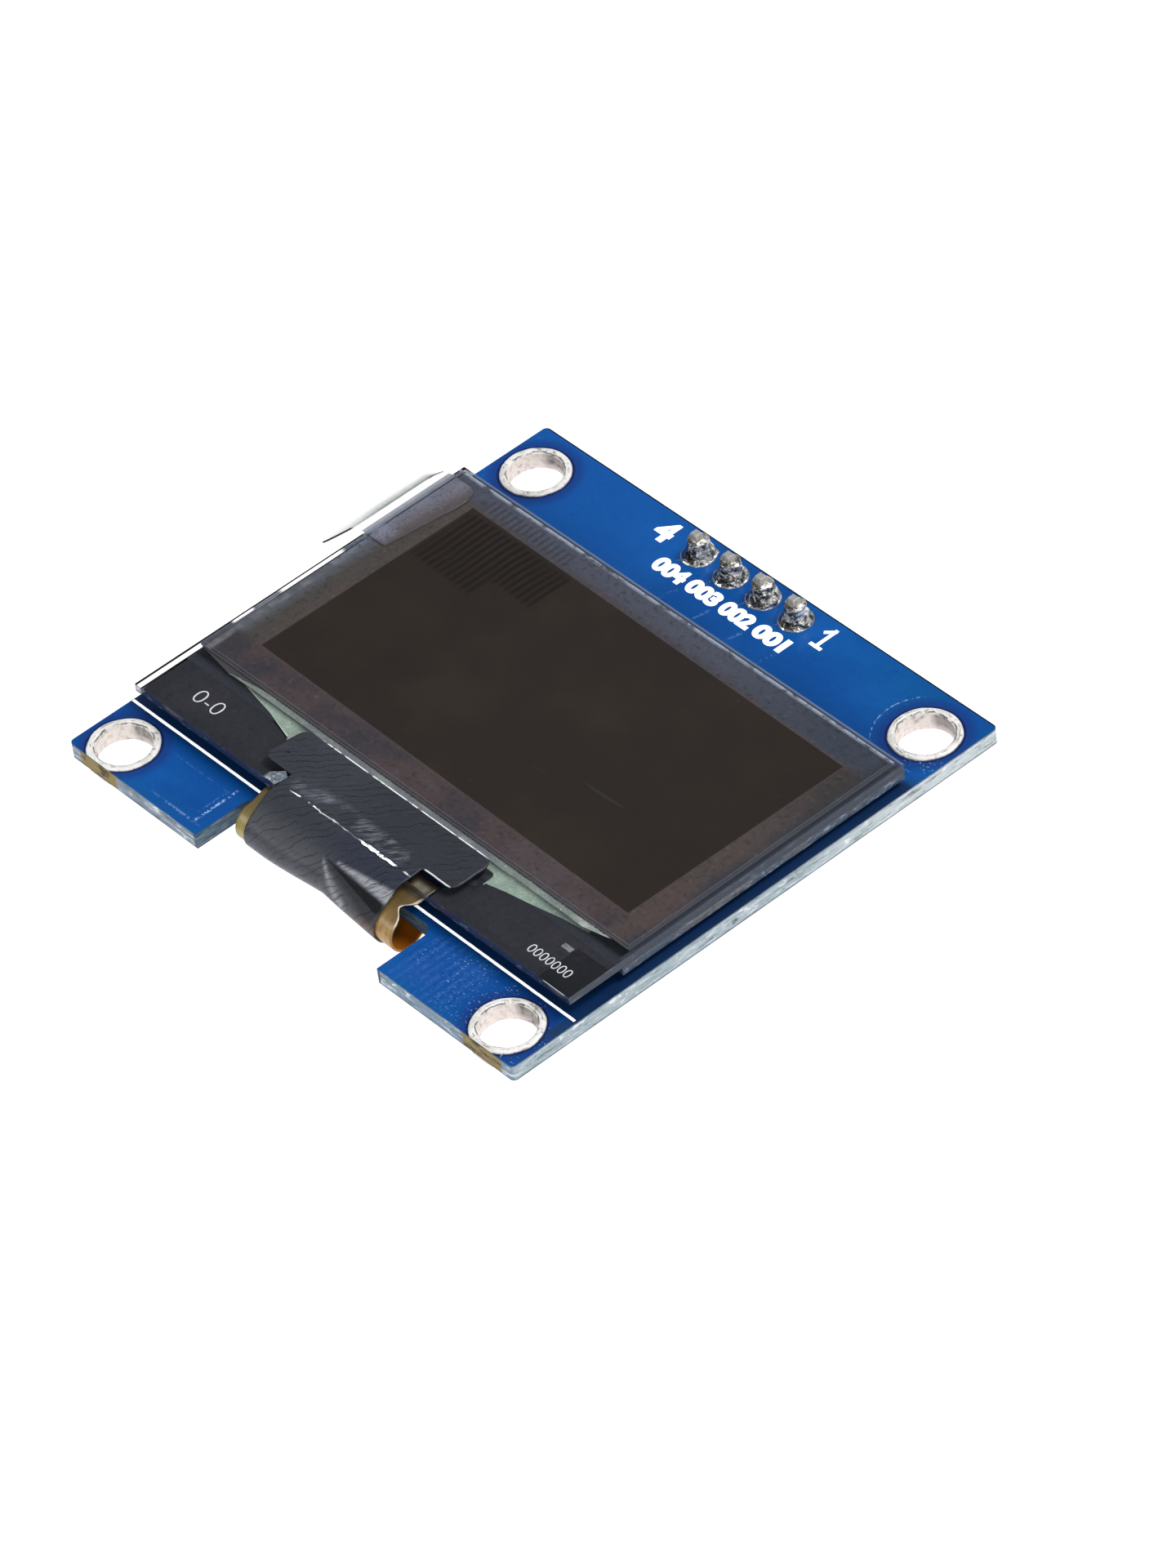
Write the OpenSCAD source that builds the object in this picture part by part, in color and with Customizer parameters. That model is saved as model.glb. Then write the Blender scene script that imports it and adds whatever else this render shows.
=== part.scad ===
// Small OLED display module: a glass display panel on a blue circuit board, with a
// ribbon folded through the board's notch and a four pin header behind the far edge.
// Millimetres. The origin is the centre of the four mounting holes, on the board's
// rear face. +Z is the way the display faces, +Y points to the header.

/* [Board] */
// Width of the board
pcb_w = 35.4; // [34.8:0.1:38]
// Length of the board, from the notch edge to the header edge
pcb_l = 33.5; // [33:0.1:37]
// Thickness of the board
pcb_t = 1.0; // [0.8:0.1:1.6]
// Radius of the board's corners
pcb_corner_r = 0.3; // [0.1:0.05:0.6]
// Width of the notch that the ribbon folds through
notch_w = 14.5; // [14:0.1:17]
// Depth of the notch
notch_l = 3.85; // [3.6:0.05:4.2]
// Radius of the notch's inner corners
notch_corner_r = 0.7; // [0.3:0.1:1.2]

/* [Mounting holes] */
// Distance from the board's sides to the holes
hole_side_margin = 2.4; // [2.2:0.1:2.8]
// Distance from the notch edge to the nearest row of holes
hole_near_margin = 1.8; // [1.7:0.05:2.4]
// Distance from the header edge to the other row of holes
hole_far_margin = 2.9; // [2.4:0.1:3.2]
// Radius of a plated hole
hole_r = 1.55; // [1.4:0.05:1.6]
// Thickness of the plating on a hole's wall
barrel_t = 0.05; // [0.03:0.01:0.1]
// Radius of the tinned ring round a hole
land_r = 2.0; // [1.85:0.05:2.2]
// Height of the tinned ring above the board
land_t = 0.05; // [0.03:0.01:0.1]

/* [Display panel] */
// Distance from the board's sides to the front glass
panel_side_margin = 0.45; // [0.2:0.05:0.9]
// Distance from the board's notch edge to the front glass
panel_near_margin = 4.38; // [4.1:0.02:4.7]
// Distance from the board's header edge to the front glass
panel_far_margin = 6.12; // [5.6:0.02:6.5]
// Thickness of the front glass
front_glass_t = 0.5; // [0.4:0.05:0.7]
// Thickness of the rear glass
rear_glass_t = 0.46; // [0.4:0.02:0.7]
// Length of the front glass left bare by the rear glass
ledge_l = 3.55; // [3.4:0.05:3.9]
// Depth of the pocket in the rear glass
pocket_l = 0.22; // [0.15:0.01:0.28]
// Thickness of the drying sheet in the pocket
drying_sheet_t = 0.12; // [0.08:0.01:0.14]
// Distance from the pocket's wall to the drying sheet
drying_sheet_margin = 1.2; // [0.5:0.1:3]
// Thickness of the seal between the two glasses
seal_t = 0.04; // [0.03:0.01:0.08]
// Width of the seal
seal_w = 1.1; // [0.8:0.1:1.2]
// Thickness of the foam tape between the rear glass and the board
foam_t = 0.4; // [0.2:0.05:0.8]
// Distance from the rear glass's edge to the foam tape
foam_margin = 0.9; // [0.4:0.1:2]

/* [Picture area] */
// Distance from the front glass's sides to the lit area
picture_side_margin = 2.54; // [2.2:0.02:3]
// Distance from the ledge's edge to the lit area
picture_near_margin = 6.39; // [6.2:0.01:6.8]
// Distance from the front glass's far edge to the lit area
picture_far_margin = 1.91; // [1.7:0.01:2.4]
// Distance that the light-emitting layers reach past the lit area
emitter_margin = 0.3; // [0.1:0.05:0.5]
// Thickness of the light-emitting layers
emitter_t = 0.03; // [0.02:0.005:0.05]

/* [Polarizer and film] */
// Thickness of the polarizer
polarizer_t = 0.15; // [0.1:0.01:0.25]
// Distance from the glass's sides to the polarizer
polarizer_side_margin = 0.25; // [0.1:0.05:0.6]
// Distance from the glass's far edge to the polarizer
polarizer_far_margin = 0.33; // [0.1:0.01:0.6]
// Distance from the ledge's edge to the polarizer
polarizer_near_margin = 4.32; // [3.7:0.02:4.7]
// Thickness of the clear protective film
film_t = 0.05; // [0.03:0.01:0.1]
// Distance from the polarizer's edge to the film
film_margin = 0.12; // [0.05:0.01:0.4]
// Thickness of the pull tab
tab_t = 0.06; // [0.04:0.01:0.1]
// Length of the pull tab's glued part along the side
tab_l = 6.2; // [4:0.1:8]
// Length of the pull tab's free part along the side
grip_l = 8.1; // [5:0.1:9]
// Distance that the pull tab's glued part reaches onto the film
tab_reach = 2.1; // [1.5:0.1:3.5]
// Distance from the front glass's far edge to the pull tab
tab_far_margin = 1.0; // [0.7:0.1:2]
// Radius that the pull tab's free part curls up with
curl_r = 1.1; // [0.8:0.05:2]
// Angle that the pull tab's free part curls through
curl_angle = 38; // [20:1:60]
// Radius of the glued part's corners
tab_corner_r = 0.5; // [0.2:0.1:1]

/* [Driver chip and ledge] */
// Width of the driver chip
chip_w = 15.1; // [13:0.1:15.6]
// Length of the driver chip
chip_l = 0.9; // [0.7:0.05:1]
// Thickness of the driver chip
chip_t = 0.3; // [0.2:0.02:0.34]
// Distance from the rear glass to the driver chip
chip_margin = 0.18; // [0.1:0.02:0.4]
// Distance of the chip's middle from the board's middle
chip_x = -0.4; // [-0.6:0.05:-0.2]
// Thickness of the black masks behind the ledge
mask_t = 0.04; // [0.03:0.01:0.06]
// Distance from the glass's edges to the masks
mask_margin = 0.05; // [0.02:0.01:0.1]
// Extra width of the clear strip of glass at the left mask's near corner
mask_slant = 0.12; // [0.06:0.02:0.4]
// Distance kept between the masks and the ribbon and driver chip
mask_gap = 0.15; // [0.1:0.05:0.3]
// Distance from the driver chip's end to a mask's far corner
mask_far_reach = 2.75; // [1.5:0.05:6]

/* [Ribbon] */
// Width of the ribbon
ribbon_w = 12.4; // [11.6:0.1:13]
// Thickness of the ribbon
ribbon_t = 0.12; // [0.1:0.01:0.16]
// Distance of the ribbon's middle from the board's middle
ribbon_x = -0.25; // [-0.5:0.05:0.5]
// Length of the ribbon bonded behind the ledge
bond_l = 1.1; // [0.8:0.05:1.2]
// Radius of the fold, at the middle of the ribbon
fold_r = 1.08; // [1:0.02:1.14]
// Distance of the fold's axis beyond the notch's bottom
fold_reach = 0.75; // [0.6:0.05:0.95]
// Height of the fold's axis above the board's rear face
fold_z = 0.45; // [0.3:0.05:0.6]
// Distance from the notch's bottom to the ribbon's soldered end
tail_l = 3.4; // [2.6:0.1:4.5]
// Depth of the wavy bite in the ribbon's right edge
bite_l = 0.7; // [0.3:0.1:0.9]
// Depth of the dent pushed into the fold
dent_depth = 0.31; // [0.1:0.01:0.34]
// Distance of the dent's crease from the board's middle
dent_x = 0.1; // [-1.5:0.1:1.5]
// Half width of the dent where it is widest
dent_w = 4.8; // [3:0.1:5]

/* [Black tape] */
// Thickness of the black tape
tape_t = 0.08; // [0.06:0.01:0.1]
// Distance of the tape's middle from the board's middle
tape_x = -0.45; // [-0.8:0.05:0.2]
// Width of the flap on the glass ledge
flap_w = 15.1; // [13:0.1:18]
// Length of the flap on the glass ledge
flap_l = 2.72; // [2.2:0.02:2.9]
// Distance from the polarizer to the flap
flap_gap = 0.5; // [0.3:0.05:0.7]
// Radius of the flap's corners
flap_corner_r = 0.4; // [0.2:0.05:0.6]
// Distance that the flap's left edge slants in towards the polarizer
flap_slant = 0.3; // [0.1:0.05:0.5]
// Width of the strip that runs round the fold
strip_w = 10.4; // [8:0.1:10.8]
// Clearance between the strip and the ribbon at the fold
tape_gap = 0.03; // [0.02:0.005:0.05]
// Length of the strip under the board, from the notch's bottom
strip_end_l = 1.5; // [0.8:0.1:2]

/* [Pin header] */
// Number of pins
pins = 4; // [3:1:6]
// Distance between the pins
pin_spacing = 2.54; // [2:0.01:2.54]
// Width of a square pin
pin_w = 0.64; // [0.5:0.02:0.64]
// Distance from the board's far edge to the row of pins
header_margin = 1.45; // [1.4:0.05:1.6]
// Height of the pins above the board's front face
pin_tail = 1.6; // [1.4:0.1:2]
// Length of the pins below the black block
pin_reach = 6.0; // [4:0.5:9]
// Length of the chamfer at a pin's ends
pin_tip = 0.25; // [0.1:0.05:0.3]
// Height of the black block
block_h = 2.54; // [2:0.01:3]
// Width of the black block
block_w = 2.5; // [2.2:0.05:2.6]
// Size of the chamfers between the block's cells
block_chamfer = 0.5; // [0.3:0.05:0.6]
// Radius of a header hole in the board
header_hole_r = 0.51; // [0.5:0.01:0.55]
// Radius of a solder joint on the front face
solder_r = 0.95; // [0.8:0.05:1.1]
// Height of a solder joint above the front face
solder_h = 1.15; // [0.8:0.05:1.2]

/* [Rear parts] */
// Length of a chip capacitor or chip resistor
chip_part_l = 1.6; // [1.4:0.1:2]
// Width of a chip capacitor or chip resistor
chip_part_w = 0.8; // [0.6:0.05:1.2]
// Height of a chip capacitor
capacitor_h = 0.8; // [0.6:0.05:1]
// Height of a chip resistor
resistor_h = 0.45; // [0.35:0.05:0.6]
// Length of the metal caps at a chip part's ends
end_cap_l = 0.3; // [0.2:0.05:0.4]
// Distance from the board's sides to the first part of a row
row_side_margin = 6.5; // [6:0.1:7]
// Distance from the header edge to the row of parts nearer the notch
near_row_margin = 13; // [11.5:0.5:15]
// Distance from the header edge to the row of parts nearer the header
far_row_margin = 7.6; // [7:0.1:8.5]
// Distance between capacitors in a row
capacitor_spacing = 3.5; // [3:0.1:3.6]
// Distance between resistors in a row
resistor_spacing = 2.5; // [2:0.1:2.8]
// Length of the voltage regulator's body
regulator_l = 2.9; // [2.7:0.1:3.1]
// Width of the voltage regulator's body
regulator_w = 1.6; // [1.5:0.1:1.8]
// Height of the voltage regulator
regulator_h = 1.1; // [0.9:0.05:1.3]
// Distance that the regulator's legs reach past its body
leg_reach = 0.6; // [0.4:0.05:0.8]
// Width of a regulator leg
leg_w = 0.4; // [0.3:0.05:0.5]
// Number of solder joints along the ribbon's end
ribbon_joints = 14; // [8:1:16]
// Length of a solder joint along the ribbon
joint_l = 1.2; // [0.8:0.1:1.6]
// Height of a solder joint below the ribbon
joint_h = 0.1; // [0.06:0.01:0.16]

/* [Hidden] */
$fn = 48;
eps = 0.01;

// Clearance between a plated wall or a solder joint and the hole it fills
hole_fit = 0.01;
// Clearance on each side of a pin
pin_fit = 0.01;

capacitors = 6;
resistors = 5;

// Board edges, seen from the front
hole_dx = pcb_w - 2 * hole_side_margin;
hole_dy = pcb_l - hole_near_margin - hole_far_margin;
near_y = -hole_dy / 2 - hole_near_margin;
far_y = near_y + pcb_l;
notch_y = near_y + notch_l;

// Display panel, from the board's front face up
panel_w = pcb_w - 2 * panel_side_margin;
panel_near_y = near_y + panel_near_margin;
panel_far_y = far_y - panel_far_margin;
rear_glass_near_y = panel_near_y + ledge_l;
chip_far_y = rear_glass_near_y - chip_margin;
foam_z = pcb_t;
rear_glass_z = foam_z + foam_t;
seal_z = rear_glass_z + rear_glass_t;
front_glass_z = seal_z + seal_t;
ledge_z = front_glass_z + front_glass_t;
polarizer_w = panel_w - 2 * polarizer_side_margin;
polarizer_near_y = panel_near_y + polarizer_near_margin;
polarizer_far_y = panel_far_y - polarizer_far_margin;
film_z = ledge_z + polarizer_t;
tab_z = film_z + film_t;
picture_w = panel_w - 2 * picture_side_margin;
picture_far_y = panel_far_y - picture_far_margin;
picture_near_y = panel_near_y + picture_near_margin;

// Ribbon: the heights of its two ends, the axis of its fold and its soldered end
ribbon_top_z = front_glass_z - ribbon_t / 2;
ribbon_low_z = -ribbon_t / 2;
fold_y = notch_y - fold_reach;
tail_y = notch_y + tail_l;

// Flap and strip of the black tape
flap_far_y = polarizer_near_y - flap_gap;
flap_near_y = flap_far_y - flap_l;
tape_z = ledge_z + tape_t / 2;
tape_offset = ribbon_t / 2 + tape_gap + tape_t / 2;

// Header: the row of pins and the hole under each pin
header_y = far_y - header_margin;
function pin_x(i) = ((pins + 1) / 2 - i) * pin_spacing;

// Chip parts on the rear face, in rows that keep their distance from the board's edges:
// x, y and turn of part i
left_x = -pcb_w / 2 + row_side_margin;
right_x = pcb_w / 2 - row_side_margin;
near_row_y = far_y - near_row_margin;
far_row_y = far_y - far_row_margin;
row_parts = 3;
function capacitor_place(i) = i <= row_parts
    ? [left_x + i * capacitor_spacing, far_row_y, 0]
    : [right_x - (i - row_parts - 1) * capacitor_spacing, near_row_y, 90];
function resistor_place(i) = [left_x + (i - 1) * resistor_spacing, near_row_y, 90];
regulator_place = [right_x - capacitor_spacing, far_row_y, 0];

// ---- Outlines ----

// Rectangle with round corners, from its lower left corner
module round_rect(w, l, r) {
    translate([r, 0]) square([w - 2 * r, l]);
    translate([0, r]) square([w, l - 2 * r]);
    for (x = [r, w - r], y = [r, l - r]) translate([x, y]) circle(r);
}

module board_outline() {
    difference() {
        translate([-pcb_w / 2, near_y]) round_rect(pcb_w, pcb_l, pcb_corner_r);
        translate([-notch_w / 2, notch_y - 2 * notch_l])
            round_rect(notch_w, 2 * notch_l, notch_corner_r);
    }
}

// A slab between two y values, centred on the board's middle line
module slab(w, y0, y1, z0, t) {
    translate([-w / 2, y0, z0]) cube([w, y1 - y0, t]);
}

// Holes 1 and 2 lie at the notch edge, 3 and 4 at the header edge
function hole_place(i) = [
    (i % 2 == 1 ? -1 : 1) * hole_dx / 2,
    (i <= 2 ? -1 : 1) * hole_dy / 2,
    0
];

// ---- Board ----

module pcb() {
    color("#0d55a5") difference() {
        linear_extrude(pcb_t) board_outline();
        for (i = [1:4]) translate(hole_place(i)) translate([0, 0, -eps])
            cylinder(h = pcb_t + 2 * eps, r = hole_r + barrel_t + hole_fit);
        for (i = [1:pins]) translate([pin_x(i), header_y, -eps])
            cylinder(h = pcb_t + 2 * eps, r = header_hole_r);
    }
}

// Plated wall with a tinned ring on each face, cut off where it reaches the board's edge
module hole_plating(i) {
    color("silver") intersection() {
        translate(hole_place(i)) difference() {
            union() {
                translate([0, 0, -land_t]) cylinder(h = land_t, r = land_r);
                cylinder(h = pcb_t, r = hole_r + barrel_t);
                translate([0, 0, pcb_t]) cylinder(h = land_t, r = land_r);
            }
            translate([0, 0, -land_t - eps])
                cylinder(h = pcb_t + 2 * land_t + 2 * eps, r = hole_r);
        }
        translate([-pcb_w / 2, near_y, -pcb_t]) cube([pcb_w, pcb_l, 3 * pcb_t]);
    }
}

// ---- Display panel ----

module front_glass() {
    color("lightslategray", 0.5) slab(panel_w, panel_near_y, panel_far_y, front_glass_z, front_glass_t);
}

module rear_glass() {
    color("slategray") difference() {
        slab(panel_w, rear_glass_near_y, panel_far_y, rear_glass_z, rear_glass_t);
        slab(panel_w - 2 * seal_w, rear_glass_near_y + seal_w, panel_far_y - seal_w,
             seal_z - pocket_l, pocket_l + eps);
    }
}

module edge_seal() {
    color("darkslategray") difference() {
        slab(panel_w, rear_glass_near_y, panel_far_y, seal_z, seal_t);
        slab(panel_w - 2 * seal_w, rear_glass_near_y + seal_w, panel_far_y - seal_w,
             seal_z - eps, seal_t + 2 * eps);
    }
}

module emitter_layers() {
    color("#332d28") slab(picture_w + 2 * emitter_margin,
         picture_near_y - emitter_margin, picture_far_y + emitter_margin,
         front_glass_z - emitter_t, emitter_t);
}

module drying_sheet() {
    inset = seal_w + drying_sheet_margin;
    color("gainsboro") slab(panel_w - 2 * inset, rear_glass_near_y + inset, panel_far_y - inset,
         seal_z - pocket_l, drying_sheet_t);
}

module foam_tape() {
    color("#20242b") slab(panel_w - 2 * foam_margin, rear_glass_near_y + foam_margin,
         panel_far_y - foam_margin, foam_z, foam_t);
}

module polarizer() {
    color("#4a474b") slab(polarizer_w, polarizer_near_y, polarizer_far_y, ledge_z, polarizer_t);
}

module protective_film() {
    color("lightsteelblue", 0.3) slab(polarizer_w - 2 * film_margin,
         polarizer_near_y + film_margin, polarizer_far_y - film_margin, film_z, film_t);
}

// Glued part on the film, and a longer free part that curls up past the glass's side
module pull_tab() {
    side_x = -panel_w / 2;
    inner_x = -polarizer_w / 2 + film_margin + tab_reach;
    out_x = side_x - curl_r;
    far = panel_far_y - tab_far_margin;
    reach = tab_l + grip_l;
    color("white", 0.6) translate([0, far, tab_z]) intersection() {
        rotate([90, 0, 0]) linear_extrude(reach) tab_profile(inner_x, side_x);
        translate([0, 0, -eps]) linear_extrude(curl_r) {
            translate([side_x - tab_corner_r, -tab_l])
                round_rect(inner_x - side_x + tab_corner_r, tab_l, tab_corner_r);
            polygon([
                [side_x + tab_corner_r, 0], [out_x, -tab_corner_r],
                [out_x, -grip_l], [side_x, -tab_l], [side_x + tab_corner_r, -tab_l]
            ]);
        }
    }
}

// Side view of the tab: flat from x0 to x1, then rising along an arc
module tab_profile(x0, x1) {
    steps = 8;
    function curl(r, k) = let (a = curl_angle * k / steps) [x1 - r * sin(a), curl_r - r * cos(a)];
    polygon(concat(
        [[x0, 0]],
        [for (k = [0:steps]) curl(curl_r, k)],
        [for (k = [steps:-1:0]) curl(curl_r - tab_t, k)],
        [[x0, tab_t]]
    ));
}

// ---- Ledge ----

module driver_chip() {
    color("#3a3d44") translate([chip_x, 0, 0])
        slab(chip_w, chip_far_y - chip_l, chip_far_y, front_glass_z - chip_t, chip_t);
}

// Black film behind the ledge at one side of the ribbon and the driver chip: 1 left, 2 right.
// Its far edge slants from the chip's end to the rear glass.
module ledge_mask(i) {
    side = i == 1 ? -1 : 1;
    outer = side * (panel_w / 2 - mask_margin);
    outer_near = outer + (i == 1 ? mask_slant : 0);
    near = panel_near_y + mask_margin;
    by_ribbon = ribbon_x + side * (ribbon_w / 2 + mask_gap);
    by_chip = chip_x + side * (chip_w / 2 + mask_gap);
    below_chip = chip_far_y - chip_l - mask_gap;
    beside_chip = chip_far_y - chip_l / 2;
    far_corner = chip_x + side * (chip_w / 2 + mask_far_reach);
    color("#24262c") translate([0, 0, front_glass_z - mask_t]) linear_extrude(mask_t) polygon([
        [outer_near, near], [by_ribbon, near], [by_ribbon, below_chip],
        [by_chip, below_chip], [by_chip, beside_chip],
        [far_corner, rear_glass_near_y], [outer, rear_glass_near_y]
    ]);
}

// ---- Ribbon and tape ----

function unit(v) = v / norm(v);

// Points [y, z] on a circle about the fold's axis; 90 is straight up, 180 points away
function fold_point(r, a) = [fold_y + r * cos(a), fold_z + r * sin(a)];

// Direction of travel round the fold at angle a
function fold_heading(a) = [-sin(a), cos(a)];

function bezier_point(p, t) =
    pow(1 - t, 3) * p[0] + 3 * t * pow(1 - t, 2) * p[1]
    + 3 * t * t * (1 - t) * p[2] + pow(t, 3) * p[3];

// Inner points of a curve that leaves p0 along h0 and reaches p1 along h1
function easing(p0, h0, p1, h1, pull, steps) =
    let (p = [p0, p0 + pull * h0, p1 - pull * h1, p1])
    [for (i = [1:steps - 1]) bezier_point(p, i / steps)];

// Direction of travel and outward direction at point i of a path
function heading(path, i) =
    unit(path[min(i + 1, len(path) - 1)] - path[max(i - 1, 0)]);
function outward(path, i) = let (h = heading(path, i)) [h[1], -h[0]];

// Angle of a point about the fold's axis, from 0 to 360
function fold_angle(p) =
    let (a = atan2(p[1] - fold_z, p[0] - fold_y)) a < 0 ? a + 360 : a;

// The dent widens and deepens from a tip above the fold to its far side, then fades below
dent_start = 104;
dent_full = 200;
dent_hold = 230;
dent_end = 285;
dent_sharpness = 1.3;
function ramp(v, v0, v1) = min(max((v - v0) / (v1 - v0), 0), 1);
function dent_share(a) = ramp(a, dent_start, dent_full) * (1 - ramp(a, dent_hold, dent_end));
function dent(x, share) = share <= 0 ? 0 :
    dent_depth * share * pow(max(1 - abs(x - dent_x) / (dent_w * share), 0), dent_sharpness);

// Path of the ribbon's middle, from the glass ledge round the fold to the board's rear
fold_pull = 0.55;
fold_steps = 7;
arc_step = 9;
ribbon_path = let (
    lift = [panel_near_y, ribbon_top_z],
    land = [notch_y + fold_reach, ribbon_low_z],
    top = fold_point(fold_r, 90),
    bottom = fold_point(fold_r, 270)
) concat(
    [[panel_near_y + bond_l, ribbon_top_z], lift],
    easing(lift, [-1, 0], top, [-1, 0], fold_pull, fold_steps),
    [for (a = [90:arc_step:270]) fold_point(fold_r, a)],
    easing(bottom, [1, 0], land, [1, 0], fold_pull, fold_steps),
    [land, [tail_y, ribbon_low_z]]
);

// Path of the tape's middle: flat on the glass, over its edge, then along the ribbon
tape_lift_y = panel_near_y - tape_t / 2;
tape_join = 90 + 4 * arc_step;
tape_pull = 0.7;
tape_steps = 9;
flap_step = 0.04;
corner_steps = 4;
flap_ys = concat(
    [for (i = [0:corner_steps]) flap_far_y - flap_corner_r * (1 - cos(90 * i / corner_steps))],
    [for (i = [corner_steps:-1:0]) flap_near_y + flap_corner_r * (1 - cos(90 * i / corner_steps))],
    [flap_near_y - flap_step, tape_lift_y]
);
ribbon_under = [for (i = [0:len(ribbon_path) - 1])
    if (ribbon_path[i][1] < fold_z && ribbon_path[i][0] > fold_y
        && ribbon_path[i][0] < notch_y + fold_reach - eps)
    ribbon_path[i] + tape_offset * outward(ribbon_path, i)];
tape_path = let (
    r = fold_r + tape_offset,
    lift = [tape_lift_y, tape_z],
    low = ribbon_low_z - tape_offset
) concat(
    [for (y = flap_ys) [y, tape_z]],
    easing(lift, [-1, 0], fold_point(r, tape_join), fold_heading(tape_join), tape_pull, tape_steps),
    [for (a = [tape_join:arc_step:270]) fold_point(r, a)],
    ribbon_under,
    [[notch_y + fold_reach, low], [notch_y + strip_end_l, low]]
);

// Half width of the flap at y, less the rounding of its corners
function flap_inset(y) = let (
    d = min(flap_far_y - y, y - flap_near_y, flap_corner_r)
) flap_corner_r - sqrt(max(flap_corner_r * flap_corner_r - pow(flap_corner_r - d, 2), 0));
function tape_edge(p, side) =
    p[0] > flap_near_y - flap_step / 2 && p[1] > ledge_z
        ? tape_x + side * (flap_w / 2 - flap_inset(p[0]))
            + (side < 0 ? flap_slant * ramp(p[0], flap_near_y, flap_far_y) : 0)
        : tape_x + side * strip_w / 2;

// Right edge of the ribbon, with its bite just past the glass
bite_angle = 75;
bite_place = fold_point(fold_r, bite_angle);
bite_w = 0.45;
function ribbon_edge(p, side) = ribbon_x + side * ribbon_w / 2
    - (side > 0 ? bite_l * exp(-pow(norm(p - bite_place) / bite_w, 2)) : 0);

// A thin sheet along a path: rows run down the path, columns run across it and
// gather at the dent's crease. edges holds the left and right x of each row.
cols = 5;
gather = 1.4;
module sheet(path, edges, t) {
    across = [for (k = [-cols:cols]) sign(k) * pow(abs(k) / cols, gather)];
    m = len(across);
    n = len(path);
    function x_at(i, u) = dent_x + abs(u) * (edges[i][u < 0 ? 0 : 1] - dent_x);
    function corner(i, u, side) = let (
        x = x_at(i, u),
        yz = path[i] + outward(path, i)
            * (side * t / 2 - dent(x, dent_share(fold_angle(path[i]))))
    ) [x, yz[0], yz[1]];
    // Index of a corner: row i, face 0 (inner) or 1 (outer), column j
    function at(i, face, j) = (2 * i + face) * m + j;
    points = [for (i = [0:n - 1]) for (face = [0, 1]) for (u = across)
        corner(i, u, 2 * face - 1)];
    function quad(a, b, c, d) = [[a, b, c], [a, c, d]];
    faces = [
        for (i = [0:n - 2]) for (j = [0:m - 2]) for (f = concat(
            quad(at(i, 1, j), at(i + 1, 1, j), at(i + 1, 1, j + 1), at(i, 1, j + 1)),
            quad(at(i, 0, j), at(i, 0, j + 1), at(i + 1, 0, j + 1), at(i + 1, 0, j))
        )) f,
        for (i = [0:n - 2]) for (f = concat(
            quad(at(i, 0, 0), at(i + 1, 0, 0), at(i + 1, 1, 0), at(i, 1, 0)),
            quad(at(i, 0, m - 1), at(i, 1, m - 1), at(i + 1, 1, m - 1), at(i + 1, 0, m - 1))
        )) f,
        for (j = [0:m - 2]) for (f = concat(
            quad(at(0, 0, j), at(0, 1, j), at(0, 1, j + 1), at(0, 0, j + 1)),
            quad(at(n - 1, 0, j), at(n - 1, 0, j + 1), at(n - 1, 1, j + 1), at(n - 1, 1, j))
        )) f
    ];
    polyhedron(points, faces);
}

module flex_ribbon() {
    color("#b8862f") sheet(ribbon_path,
        [for (p = ribbon_path) [ribbon_edge(p, -1), ribbon_edge(p, 1)]], ribbon_t);
}

module light_shield_tape() {
    color("#2c2f3a") sheet(tape_path,
        [for (p = tape_path) [tape_edge(p, -1), tape_edge(p, 1)]], tape_t);
}

// ---- Pin header ----

module header_block() {
    w = pins * pin_spacing;
    opening = pin_w + 2 * pin_fit;
    color("#1b1c1e") translate([0, header_y, -block_h]) linear_extrude(block_h) difference() {
        square([w, block_w], center = true);
        for (k = [0:pins], side = [-1, 1])
            translate([k * pin_spacing - w / 2, side * block_w / 2]) rotate(45)
                square(block_chamfer * sqrt(2), center = true);
        for (i = [1:pins]) translate([pin_x(i), 0]) square(opening, center = true);
    }
}

// Square pin with chamfered ends
module header_pin(i) {
    color("gold") translate([pin_x(i), header_y, 0]) intersection() {
        rotate([90, 0, 0]) linear_extrude(pin_w, center = true) pin_outline();
        rotate([90, 0, 90]) linear_extrude(pin_w, center = true) pin_outline();
    }
}

module pin_outline() {
    top = pcb_t + pin_tail;
    bottom = -block_h - pin_reach;
    half = pin_w / 2;
    end = half - pin_tip / 2;
    polygon([
        [-end, bottom], [end, bottom], [half, bottom + pin_tip], [half, top - pin_tip],
        [end, top], [-end, top], [-half, top - pin_tip], [-half, bottom + pin_tip]
    ]);
}

// Solder that fills a header hole and rises round the pin with a hollow flank
module header_solder(i) {
    fill_r = header_hole_r - hole_fit;
    pin_corner = (pin_w / 2 + pin_fit) * sqrt(2);
    collar = 0.05;
    top_r = pin_corner + collar;
    steps = 7;
    flank = [for (k = [0:steps]) let (t = k / steps)
        [top_r + (solder_r - top_r) * pow(1 - t, 2), pcb_t + solder_h * t]];
    opening = pin_w + 2 * pin_fit;
    color("silver") translate([pin_x(i), header_y, 0]) difference() {
        rotate_extrude() polygon(concat(
            [[0, 0], [fill_r, 0], [fill_r, pcb_t]], flank, [[0, pcb_t + solder_h]]
        ));
        translate([-opening / 2, -opening / 2, -eps])
            cube([opening, opening, pcb_t + solder_h + 2 * eps]);
    }
}

// ---- Rear parts ----

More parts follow.
